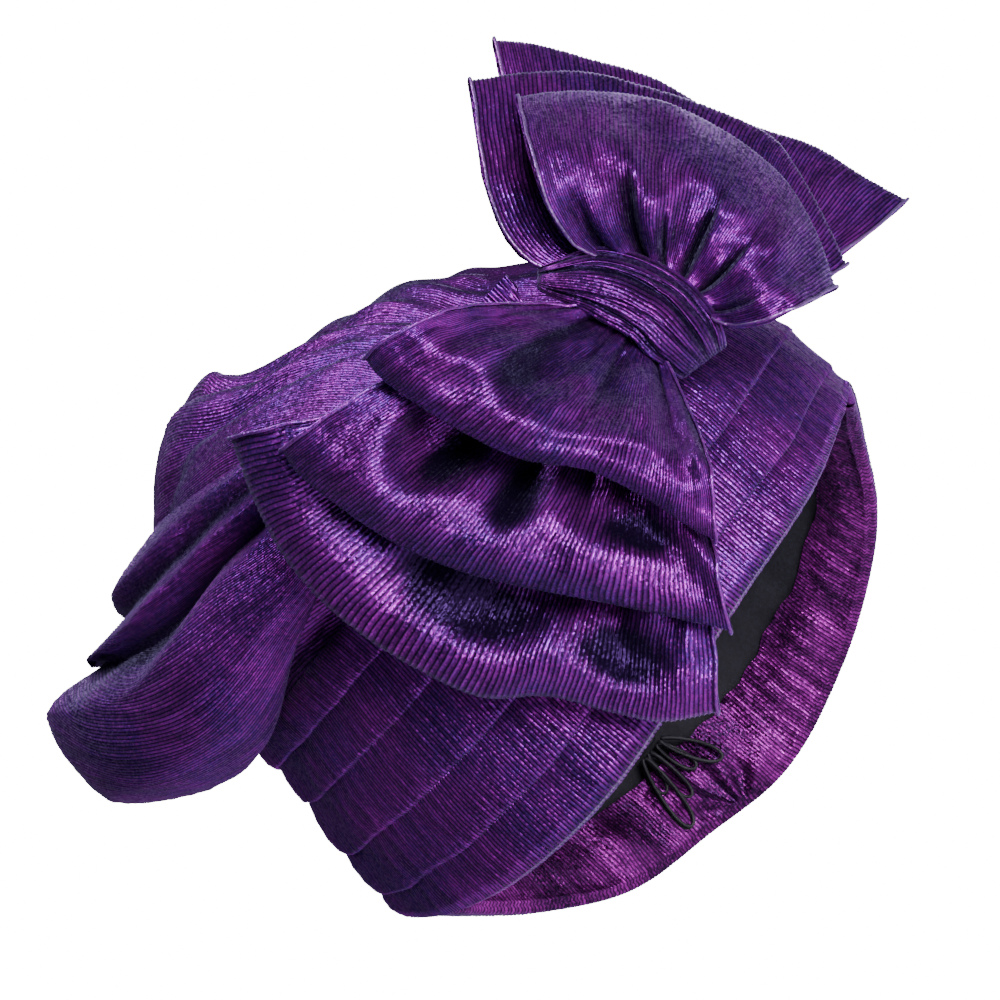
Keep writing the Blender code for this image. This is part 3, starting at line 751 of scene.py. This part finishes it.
def metallic_cloth(name):
    """Crinkled cloth with flat metal threads: dark furrows, violet to magenta ribs, small glints, painted shade where
    the `rib` attribute is lowered, and a painted pale highlight along edges.
    """
    furrow, violet, magenta, patches = METALLIC_CLOTHS[name]
    material, tree, shader = new_material(name)
    place = tree.nodes.new("ShaderNodeTexCoord").outputs["Object"]
    threads = add_node(tree, "ShaderNodeTexVoronoi", {"Vector": place, "Scale": 1 / THREAD_SIZE}).outputs["Color"]
    by_patch = ranged(tree, noise(tree, place, patches, PATCH_DETAIL), MAGENTA_BY_PATCH)
    both = add_node(tree, "ShaderNodeMath", {0: by_patch, 1: ranged(tree, threads, MAGENTA_BY_THREAD)}, "ADD")
    thread = mixed_color(tree, both.outputs[0], violet, magenta)
    # Where painted shade has lowered the `rib` attribute, the colour mixes towards the furrow colour
    cloth = mixed_color(tree, ranged(tree, attribute(tree, "rib"), COLOR_BY_RIB), furrow, thread)
    connect(tree, shader, {
        # Painted pale highlight where the `edge` attribute is set
        "Base Color": mixed_color(tree, attribute(tree, "edge"), cloth, PAINTED_EDGE_HIGHLIGHT),
        "Normal": tipped_normal(tree, threads),
        "Roughness": ranged(tree, threads, ROUGHNESS_BY_THREAD),
        **METALLIC_GLOSS,
    })
    return material


def plain_cloth(name):
    """Black cloth with a fine grain and faint lighter threads."""
    dark, light, roughness, grain, sheen = PLAIN_CLOTHS[name]
    material, tree, shader = new_material(name)
    fine = noise(tree, tree.nodes.new("ShaderNodeTexCoord").outputs["Object"], grain, GRAIN_DETAIL)
    raised = add_node(tree, "ShaderNodeBump", {"Height": fine, "Strength": GRAIN_STRENGTH, "Distance": GRAIN_HEIGHT})
    spread = (roughness - ROUGHNESS_SPREAD, roughness + ROUGHNESS_SPREAD)
    connect(tree, shader, {
        "Base Color": mixed_color(tree, ranged(tree, fine, LIGHT_BY_GRAIN), dark, light),
        "Normal": raised.outputs["Normal"],
        "Roughness": ranged(tree, fine, ROUGHNESS_BY_GRAIN + spread),
        "Sheen Weight": sheen,
        "Sheen Tint": SHEEN,
    })
    return material


def make_band(cloth):
    """The brow band: its rolled rim, then tuck over tuck up to the crown."""
    columns = BAND_RIBS * RIB_STEPS
    turn = np.arange(columns) * 360 / columns
    rim = rim_height(turn)
    ring = on_ring(turn)
    wave = ripples(*ring, *TUCK_WAVE)
    lip_seed, lip_length, lip_height = LIP_WAVE
    strength = between(TUCK_LEAST, 1, bump(turn, TUCK_SIDE, TUCK_SIDE_SPREAD))
    rows = [cap_point(turn, rim + BAND_INSIDE, -2 * BAND_ROLL)]
    for roll in np.linspace(np.pi, 0, BAND_ROLL_STEPS):
        height = rim + BAND_ROLL * (1 - np.sin(roll))
        rows.append(cap_point(turn, height, BAND_ROLL * (np.cos(roll) - 1)))
    for index, (low, high) in enumerate(zip(TUCKS, TUCKS[1:])):
        bottom = low[0] + low[1] * rim
        if index:
            bottom = bottom + ripples(*ring, lip_seed + index, lip_length, lip_height)
        top = high[0] + high[1] * rim
        for share, rise, relief in TUCK_SECTION if index else TUCK_SECTION[3:]:
            swell = relief * strength + wave * np.sin(np.pi * share)
            rows.append(cap_point(turn, between(bottom, top, share) + rise, swell))
    rows.append(cap_point(turn, top, -BAND_TOP_DEPTH))
    points, relief = ribbed(np.array(rows), RIB_SEEDS["brow_band"], around=True)
    edge = np.zeros(points.shape[:2])
    # Painted pale highlight along the rolled rim
    edge[BAND_ROLL_STEPS - 1:BAND_ROLL_STEPS + 1] = HEM_PAINTED_HIGHLIGHT
    piece = sheet_object("band_cloth", points, cloth, relief, around=True, edge=edge)
    lay(piece, "brow_band")


def crown_heights(share):
    """The crown's height at each share of the way from its top, measured along its slope, to its lowest edge."""
    height = np.linspace(CAP_LEVELS[-1][0], CROWN_BOTTOM, CROWN_SAMPLES)
    levels = table_at(CAP_LEVELS, height)
    half = (levels[:, 1] - levels[:, 0] + levels[:, 3] - levels[:, 2]) / 4
    way = np.concatenate([[0], np.cumsum(np.hypot(np.diff(half), np.diff(height)))])
    return np.interp(share, way / way[-1], height)


def crown_fold_depth(points):
    """How far the crown's folds sink it at these points: valleys that spread from the bow and fade."""
    away = points[..., :2] - CROWN_FOLDS_FROM
    sink = np.zeros(away.shape[:-1])
    for direction, depth, half_width in CROWN_FOLDS:
        turn = np.radians(direction)
        along = away[..., 0] * np.cos(turn) + away[..., 1] * np.sin(turn)
        aside = away[..., 1] * np.cos(turn) - away[..., 0] * np.sin(turn)
        near = np.clip(along / CROWN_FOLD_START, 0, 1)
        far = np.clip((CROWN_FOLD_REACH - along) / CROWN_FOLD_FADE, 0, 1)
        sink += depth * near * far * bump(aside, 0, half_width)
    return sink * np.clip((points[..., 2] - WALL_TOP) / CROWN_FOLD_RISE, 0, 1)


def make_crown(cloth):
    """The soft crown: one cloth over the head, whose ribs all run the same way over it."""
    a = np.linspace(-1, 1, CROWN_ROWS)[:, None]
    b = np.linspace(-1, 1, CROWN_RIBS * RIB_STEPS + 1)[None, :]
    ahead = a * np.sqrt(1 - b**2 / 2)
    aside = b * np.sqrt(1 - a**2 / 2)
    x = ahead * np.cos(CROWN_TURN) - aside * np.sin(CROWN_TURN)
    y = ahead * np.sin(CROWN_TURN) + aside * np.cos(CROWN_TURN)
    height = crown_heights(np.clip(np.hypot(x, y), 0, 1))
    free = smooth((height - CROWN_TUCKED_UNDER) / (CROWN_FREE_FROM - CROWN_TUCKED_UNDER))
    points = cap_point(np.degrees(np.arctan2(x, -y)), height, -CROWN_DEPTH * (1 - free) + CROWN_SWELL * free)
    across, along = distances(points)
    puckers = ripples(across, along[:, None] / CROWN_PUCKER_STRETCH, *CROWN_PUCKERS) * free
    out = normals(points)
    out = out * np.sign(out[CROWN_ROWS // 2, out.shape[1] // 2, 2])
    points = points + out * (puckers - crown_fold_depth(points))[..., None]
    points, relief = ribbed(points, RIB_SEEDS["cap_crown"])
    lay(sheet_object("crown_cloth", points, cloth, relief), "cap_crown")


def make_lining(black):
    """The lining: a wall from the rim up, then a dome."""
    turn = np.arange(LINING_COLUMNS) * 360 / LINING_COLUMNS
    rim = rim_height(turn) + LINING_START
    rows = []
    for share in np.linspace(0, 1, LINING_WALL_ROWS):
        height = between(rim, WALL_TOP, share)
        rows.append(cap_point(turn, height, -between(*LINING_DEPTHS, smooth((height - rim) / LINING_SETTLE))))
    wall_top = rows[-1]
    rise = DOME_TOP - DOME_MIDDLE
    start = np.arcsin((WALL_TOP - DOME_MIDDLE) / rise)
    for climb in np.linspace(start, np.pi / 2, LINING_DOME_ROWS)[1:]:
        share = np.cos(climb) / np.cos(start)
        row = wall_top * (share, share, 1)
        row[:, 2] = DOME_MIDDLE + rise * np.sin(climb)
        rows.append(row)
    points = np.array(rows)
    _, along = distances(points)
    left, ahead = on_ring(turn)
    folds = ripples(left, ahead + along[:, None] / LINING_FOLD_STRETCH, *LINING_FOLDS)
    fade = smooth(along / LINING_FOLD_FADES[0]) * smooth((along[-1] - along) / LINING_FOLD_FADES[1])
    points = points - normals(points, around=True) * (folds * fade[:, None])[..., None]
    piece = sheet_object("lining_cloth", points, black, around=True)
    lay(piece, "head_lining")


def make_facing(cloth, ribbon):
    """The cloth turned in round the nape: rolled under the rim, then up the lining in soft puckers."""
    turn = np.linspace(FACING_FROM, FACING_TO, FACING_RIBS * RIB_STEPS + 1)
    rim = rim_height(turn)
    tall = table_at(FACING_HEIGHTS, turn)[..., 0]
    arc = np.radians(turn) * RIM_RADIUS
    from_gather = np.radians(turn - GATHER_ANGLE) * RIM_RADIUS
    rows = []
    for roll in np.linspace(FACING_ROLL_FROM, np.pi, FACING_ROLL_STEPS):
        height = rim - GAP + FACING_ROLL * (1 - np.sin(roll))
        rows.append(cap_point(turn, height, FACING_ROLL * (np.cos(roll) - 1) - GAP))
    for share in np.linspace(FACING_START, 1, FACING_ROWS):
        rise = tall * share
        depth = between(*FACING_DEPTHS, smooth(share * FACING_SETTLE))
        near = np.exp(-(from_gather**2 + rise**2) / GATHER_REACH**2)
        star = GATHER_DEPTH * np.cos(GATHER_FOLDS * np.arctan2(rise + 1, from_gather)) * near
        up = rise / FACING_PUCKER_STRETCH
        pucker = sum(ripples(arc, up, *puckers) for puckers in FACING_PUCKERS)
        pucker = pucker * np.sin(np.pi * np.clip(share, *FACING_PUCKER_SHARES))
        swell = np.maximum(pucker + star * smooth(share * GATHER_START), -FACING_CLEAR)
        edge = ripples(arc, 0 * arc, *FACING_EDGE_WAVE) * share
        rows.append(cap_point(turn, rim + GAP + rise + edge, -depth - FACING_CLEAR - swell))
    points, relief = ribbed(np.array(rows), RIB_SEEDS["nape_facing"], height=FACING_RIB_HEIGHT)
    piece = sheet_object("facing_cloth", points, cloth, relief)
    lay(piece, "nape_facing")


def creased(keys, rows, at):
    """The table's values, on a curve with a soft crease at each row."""
    straight = np.array([np.interp(at, keys, values) for values in np.transpose(rows)]).T
    return read_table(keys, rows, at) * (1 - DRAPE_CREASE) + straight * DRAPE_CREASE


def drape_surface():
    """The drape's stand and height on a fine grid of stations and folds."""
    stations = np.linspace(DRAPE_STATIONS[0], DRAPE_STATIONS[-1], DRAPE_SAMPLES)
    stands = read_table(DRAPE_STATIONS, np.transpose([row[1:] for row in DRAPE_STANDS]), stations)
    heights = read_table(DRAPE_STATIONS, np.transpose([row[1:] for row in DRAPE_HEIGHTS]), stations)
    folds = np.arange(len(DRAPE_STANDS))
    along = np.linspace(0, folds[-1], DRAPE_SAMPLES)
    return creased(folds, stands.T, along), creased(folds, heights.T, along)


def sampled(grid, row_share, column_share):
    """The grid's value at shares of its height and width, by straight steps between its points."""
    last = len(grid) - 1
    row = np.clip(row_share, 0, 1) * last
    place = np.clip(column_share, 0, 1) * last
    r = np.minimum(row.astype(int), last - 1)
    c = np.minimum(place.astype(int), last - 1)
    down, over = row - r, place - c
    top = grid[r, c] * (1 - over) + grid[r, c + 1] * over
    bottom = grid[r + 1, c] * (1 - over) + grid[r + 1, c + 1] * over
    return top * (1 - down) + bottom * down


def make_drape(cloth):
    """The side drape. Its columns run slanting over the folds, as its ribs do, from hem to hem or end to end."""
    stand, height = drape_surface()
    line = np.linspace(-DRAPE_SLANT + DRAPE_MARGIN, 1 - DRAPE_MARGIN, DRAPE_RIBS * RIB_STEPS + 1)[None, :]
    start = np.maximum(0, -line / DRAPE_SLANT)
    end = np.minimum(1, (1 - line) / DRAPE_SLANT)
    share = np.linspace(0, 1, DRAPE_ROWS)[:, None]
    station = between(start, end, share)
    fold = line + DRAPE_SLANT * station
    angle = -between(DRAPE_STATIONS[0], DRAPE_STATIONS[-1], station)
    points = cap_point(angle, sampled(height, fold, station), sampled(stand, fold, station))
    loose = np.sin(np.pi * np.clip(station, 0, 1)) * np.sin(np.pi * np.clip(fold, 0, 1))
    puckers = ripples(station * DRAPE_SPAN[0], fold * DRAPE_SPAN[1], *DRAPE_PUCKERS) * loose
    points = points + normals(points) * puckers[..., None]
    points, relief = ribbed(points, RIB_SEEDS["side_drape"], height=DRAPE_RIB_HEIGHT)
    # Painted shade darkens the ribs' colour under the lower roll and in the grooves
    place = fold * (len(DRAPE_STANDS) - 1)
    groove = sum(bump(place, middle, half_width) for middle, half_width in DRAPE_PAINTED_SHADE_GROOVES)
    relief = relief * (1 - DRAPE_PAINTED_GROOVE_SHADE * groove)
    lay(sheet_object("drape_cloth", points, cloth, relief), "side_drape")


def loop_path(round_share):
    """Steps along the front layer, round the folded end and back: the share of the way from the knot, and the
    side, from 1 on the front layer to -1 on the back one."""
    flat = np.linspace(0, 1 - round_share, LOOP_FLAT_STEPS + 1)[:-1]
    back = np.linspace(1 - round_share, 0, LOOP_BACK_STEPS + 1)[1:]
    bend = np.linspace(0, np.pi, 2 * LOOP_ROUND_STEPS + 1)
    out = np.concatenate([flat, 1 - round_share + round_share * np.sin(bend), back])
    side = np.concatenate([np.ones(len(flat)), np.cos(bend), -np.ones(len(back))])
    return out, side


def sunken(loop, share, along):
    """How far the loop's folds and hollows sink it, across the loop at one share of the way from the knot."""
    sink = 0
    for middle, way, half_width, half_length, depth in loop["hollows"]:
        from_middle = ((share - middle) / half_width) ** 2 + ((along - way) / half_length) ** 2
        sink = sink + depth * np.exp(-(from_middle**HOLLOW_EDGE))
    for at_knot, at_end, depth, half_width, fade in loop["folds"]:
        middle = between(at_knot, at_end, along)
        reach = smooth(along / FOLD_START) * smooth((fade - along) / (FOLD_FADE * fade))
        past = (share - middle) / half_width
        slope = np.abs(past / np.where(past < 0, FOLD_SHARP, FOLD_WIDE)) ** FOLD_EDGE
        sink = sink + depth * reach * np.exp(-slope)
    return sink


def make_loop(name, loop, seed, cloth):
    """A bow loop: its front layer out from the knot, its folded end, and its back layer to the knot again."""
    outward = loop["side"]
    share = np.linspace(0, 1, LOOP_RIBS * RIB_STEPS + 1)
    ends = read_table(np.linspace(0, 1, len(loop["ends"])), loop["ends"], share)
    neck = knot_line(between(*NECK_STRETCH, share))
    start = neck[:, :2] + np.outer(neck[:, 2] * NECK_REACH * outward, (1, 0))
    way = ends[:, :2] - start
    aside = outward * unit(np.stack([-way[:, 1], way[:, 0]], axis=1))
    skew = np.log(0.5) / np.log(loop["bulge_at"])
    span, reach = LOOP_SPAN
    crest = ripples(share * span, 0 * share, seed + CREST_SEED, CREST_LENGTH, CREST_WANDER)
    sheet, painted_shade = [], []
    for along, side in zip(*loop_path(loop["round"])):
        shifted = np.clip(along + crest * np.sin(np.pi * along), 0, 1)
        back, front = table_at(loop["layers"], shifted).T
        place = start + way * along + aside * (ends[:, 2] * np.sin(np.pi * along**skew))[:, None]
        forward = (back + front) / 2 + side * (front - back) / 2
        sink = np.zeros(len(share))
        if side > 0:
            lip = loop["lip"] * bump(along, LIP_AT, LIP_WIDTH)
            puckers = ripples(share * span, along * reach, seed + PUCKER_SEED, PUCKER_LENGTH, loop["puckers"])
            room = SINK_ROOM * (front - back)
            sink = room * np.tanh(sunken(loop, share, along) / room)
            forward = forward + (puckers * np.sin(np.pi * along) + lip - sink) * side
        # Painted shade: the ribs' colour darkens where folds and hollows sink the front layer
        painted_shade.append(1 - PAINTED_SINK_SHADE * smooth(sink / PAINTED_SHADE_DEPTH))
        sheet.append(seen(place[:, 0], place[:, 1], forward))
    points, relief = ribbed(np.array(sheet), seed, out=outward)
    points, relief = hemmed(points, relief * np.array(painted_shade), inward=-outward)
    # Painted pale highlight down the loop's sides and along its folded end
    edge = np.zeros(points.shape[:2])
    edge[:, :HEM_STEPS - 1] = edge[:, -HEM_STEPS + 1:] = loop["hem_highlight"]
    edge[LOOP_FLAT_STEPS + LOOP_ROUND_STEPS - 1:LOOP_FLAT_STEPS + LOOP_ROUND_STEPS + 2] += loop["thread"]
    piece = sheet_object(name + "_cloth", points, cloth, relief, edge=edge)
    lay(piece, name)


def make_knot(cloth, tab):
    """The strip round the bow's middle: ribs and slanting pleats run round it."""
    turn = np.arange(KNOT_STEPS + 1) * 2 * np.pi / KNOT_STEPS
    rise, push = (np.sign(way) * np.abs(way) ** (2 / KNOT_SQUARENESS) for way in (np.sin(turn), np.cos(turn)))
    height = (1 + rise) / 2
    line = knot_line(height)
    run = (knot_line(height + KNOT_SLOPE_STEP) - knot_line(height - KNOT_SLOPE_STEP))[:, :2]
    across_run = unit(np.stack([run[:, 1], -run[:, 0]], axis=1))
    sheet, painted_shade = [], []
    for share in np.linspace(-1, 1, KNOT_RIBS * RIB_STEPS + 1):
        pinch = 1 - np.where(rise < 0, *KNOT_END_PINCHES) * np.abs(rise) ** KNOT_PINCH_POWER
        place = line[:, :2] + across_run * (line[:, 2] * share * pinch)[:, None]
        fold = 0
        for middle, depth, before, after, slant in KNOT_PLEATS:
            past = share - middle - slant * rise
            fold = fold - depth * bump(past, 0, np.where(past < 0, before, after))
        bulge = KNOT_BULGE * (0.5 - share**2)
        forward = KNOT_MIDDLE + push * (KNOT_HALF_DEPTH + fold + bulge - KNOT_CLEAR)
        sheet.append(seen(place[:, 0], place[:, 1], forward))
        # Painted shade: the whole knot dimmed, and darker still in its pleats
        painted_shade.append(KNOT_DIMMED_BY_PAINTED_SHADE * (1 - PAINTED_SINK_SHADE * smooth(-fold / KNOT_PAINTED_SHADE_DEPTH) * np.ones(len(turn))))
    points = np.moveaxis(np.array(sheet), 0, 1)
    points, relief = ribbed(points, RIB_SEEDS["bow_knot"], height=KNOT_RIB_HEIGHT)
    points, relief = hemmed(points, relief * np.array(painted_shade).T, inward=-1)
    piece = sheet_object("knot_cloth", points, cloth, relief)
    lay(piece, "bow_knot")


def make_tab(cloth):
    """The small end of cloth that stands up behind the knot."""
    low, high = np.array(TAB).reshape(2, 2, 2)
    up = np.linspace(0, 1, TAB_ROWS)[:, None, None]
    over = np.linspace(0, 1, TAB_RIBS * RIB_STEPS + 1)[None, :, None]
    flat = (low[0] * (1 - over) + low[1] * over) * (1 - up) + (high[0] * (1 - over) + high[1] * over) * up
    wave = TAB_WAVE[0] * np.sin(TAB_WAVE[1] * flat[..., 0]) * up[..., 0]
    points = seen(flat[..., 0], flat[..., 1], TAB_FORWARD + wave)
    points, relief = ribbed(points, RIB_SEEDS["knot_tab"], height=TAB_RIB_HEIGHT)
    points, relief = hemmed(points, relief, inward=-1)
    return dress(sheet_object("tab_cloth", points, cloth, relief), "knot_tab")


def make_ribbon(satin):
    """Hanging loops and a knot of narrow black ribbon, standing on edge against the inside of the nape."""
    radius = CAP_LEVELS[1][2] - RIBBON_DEPTH
    sway, sways = RIBBON_SWAY
    turn = np.linspace(0, 2 * np.pi, RIBBON_STEPS + 1)
    pieces = []
    for name, loops in RIBBON_LOOPS.items():
        sheets = []
        for place, length, lean, width, stand in loops:
            fall = length / 2 * (1 - np.cos(turn))
            aside = width / 2 * np.sin(turn) * np.sin(turn / 2) ** RIBBON_FULLNESS
            lean = np.radians(lean)
            along = place + fall * np.sin(lean) + aside * np.cos(lean)
            height = RIBBON_HEIGHT - fall * np.cos(lean) + aside * np.sin(lean)
            sheet = []
            for edge in np.linspace(-0.5, 0.5, RIBBON_COLUMNS):
                out = RIBBON_DEPTH + RIBBON_STAND - stand + edge * RIBBON_WIDTH + sway * np.sin(sways * turn)
                sheet.append(cap_point(180 - np.degrees(along / radius), height, -out))
            points = np.moveaxis(np.array(sheet), 0, 1)
            sheets.append(hemmed(points, np.ones(points.shape[:2]), inward=1)[0])
        piece = sheet_object(name + "_satin", sheets[0], satin)
        for points in sheets[1:]:
            join(piece, sheet_object(name + "_more", points, satin))
        pieces.append(dress(piece, name))
    return pieces + [make_ribbon_knot(satin, radius)]


def join(piece, extra):
    """Adds the extra object's mesh to the piece."""
    both = bmesh.new()
    both.from_mesh(piece.data)
    both.from_mesh(extra.data)
    both.to_mesh(piece.data)
    both.free()
    bpy.data.meshes.remove(extra.data)


def make_ribbon_knot(satin, radius):
    """The small wrapped knot that the two loops hang from."""
    width, thick, tall = RIBBON_KNOT
    crease_depth, creases, crease_slant = RIBBON_KNOT_CREASES
    turn = np.linspace(0, 2 * np.pi, RIBBON_KNOT_ROWS)
    sheet = []
    for share in np.linspace(-1, 1, RIBBON_KNOT_COLUMNS):
        pinch = 1 - RIBBON_KNOT_PINCH * share**4
        angle = 180 - np.degrees((RIBBON_KNOT_PLACE + width / 2 * share) / radius)
        height = RIBBON_HEIGHT + tall / 2 + RIBBON_KNOT_RISE + tall / 2 * pinch * np.sin(turn)
        half = thick / 2 * pinch + crease_depth * np.cos(creases * turn + crease_slant * share)
        sheet.append(cap_point(angle, height, -RIBBON_DEPTH - RIBBON_KNOT_CLEAR - thick / 2 - half * np.cos(turn)))
    piece = sheet_object("ribbon_knot_satin", np.moveaxis(np.array(sheet), 0, 1), satin)
    return dress(piece, "ribbon_knot")


def picture_axes():
    """The picture's right, its up and the way into it."""
    ahead = Vector((0, np.cos(SIGHT_TILT), np.sin(-SIGHT_TILT)))
    right = Vector((1, 0, 0))
    above = Vector((0, -np.sin(-SIGHT_TILT), np.cos(SIGHT_TILT)))
    x = right * np.cos(ROLL) - above * np.sin(ROLL)
    y = right * np.sin(ROLL) + above * np.cos(ROLL)
    return x, y, ahead


def make_camera():
    """A camera at the photograph's place, rolled as the photograph is."""
    x, y, ahead = picture_axes()
    data = bpy.data.cameras.new("photo_camera")
    data.sensor_width = SENSOR
    data.lens = SENSOR * SIGHT_DISTANCE / PICTURE_WIDTH
    camera = bpy.data.objects.new("photo_camera", data)
    bpy.context.collection.objects.link(camera)
    place = Vector((AIM_ACROSS, 0, AIM_UP)) * MM - ahead * SIGHT_DISTANCE * MM
    camera.matrix_world = Matrix.Translation(place) @ Matrix((x, y, -ahead)).transposed().to_4x4()
    bpy.context.scene.camera = camera


# Lamps, placed by how far right, up and towards the camera they stand in the picture, in metres
LIGHTS = (
    # name, place, size, power, color
    ("key_light", (0.22, 0.5, 1.3), 0.62, 37.0, (1.0, 0.9, 1.0)),
    ("top_light", (-0.85, 1.0, 0.0), 0.6, 18.0, (0.97, 0.92, 1.0)),
    ("side_light", (1.1, -0.5, 0.5), 0.5, 2.0, (1.0, 0.93, 1.0)),
    ("back_light", (0.1, 0.4, -1.3), 0.8, 8.0, (0.95, 0.95, 1.0)),
)
FLOOR_HEIGHT = -0.3
FLOOR_RADIUS = 1.5
FLOOR_SIDES = 96
FLOOR_ROUGHNESS = 0.85
WORLD_STRENGTH = 0.17
BACKDROP_STRENGTH = 18.0


def make_lights():
    aim = Vector((0, 0, AIM_UP * MM))
    x, y, ahead = picture_axes()
    for name, (right, up, near), size, power, color in LIGHTS:
        data = bpy.data.lights.new(name, "AREA")
        data.shape = "DISK"
        data.size = size
        data.energy = power
        data.color = color
        lamp = bpy.data.objects.new(name, data)
        bpy.context.collection.objects.link(lamp)
        lamp.location = aim + x * right + y * up - ahead * near
        lamp.rotation_euler = (aim - lamp.location).to_track_quat("-Z", "Y").to_euler()
        lamp.visible_camera = False


def make_world():
    """Dim soft light from all round, with a white backdrop for the camera alone."""
    world = bpy.data.worlds.new("studio")
    world.use_nodes = True
    tree = world.node_tree
    soft = tree.nodes["Background"]
    connect(tree, soft, {"Color": WORLD_COLOR, "Strength": WORLD_STRENGTH})
    backdrop = add_node(tree, "ShaderNodeBackground", {"Color": (1, 1, 1, 1), "Strength": BACKDROP_STRENGTH})
    seen_by_camera = tree.nodes.new("ShaderNodeLightPath").outputs["Is Camera Ray"]
    mix = add_node(tree, "ShaderNodeMixShader", {0: seen_by_camera, 1: soft.outputs[0], 2: backdrop.outputs[0]})
    connect(tree, tree.nodes["World Output"], {0: mix.outputs[0]})
    bpy.context.scene.world = world


def make_floor():
    place = (0, 0, FLOOR_HEIGHT)
    bpy.ops.mesh.primitive_circle_add(vertices=FLOOR_SIDES, radius=FLOOR_RADIUS, fill_type="NGON", location=place)
    floor = bpy.context.object
    floor.name = "studio_floor"
    material, tree, shader = new_material("pale_floor")
    connect(tree, shader, {"Base Color": FLOOR_COLOR, "Roughness": FLOOR_ROUGHNESS})
    floor.data.materials.append(material)


make_camera()
make_world()
make_lights()
make_floor()
wrap_cloth = metallic_cloth("wrap_cloth")
facing_cloth = metallic_cloth("facing_cloth")
lining_cloth = plain_cloth("lining_cloth")
ribbon_satin = plain_cloth("ribbon_satin")
make_lining(lining_cloth)
make_crown(wrap_cloth)
make_band(wrap_cloth)
make_facing(facing_cloth, make_ribbon(ribbon_satin))
make_drape(wrap_cloth)
for number, (loop_name, loop_values) in enumerate(LOOPS.items()):
    make_loop(loop_name, loop_values, LOOP_SEED + LOOP_SEED_STEP * number, wrap_cloth)
make_knot(wrap_cloth, make_tab(wrap_cloth))
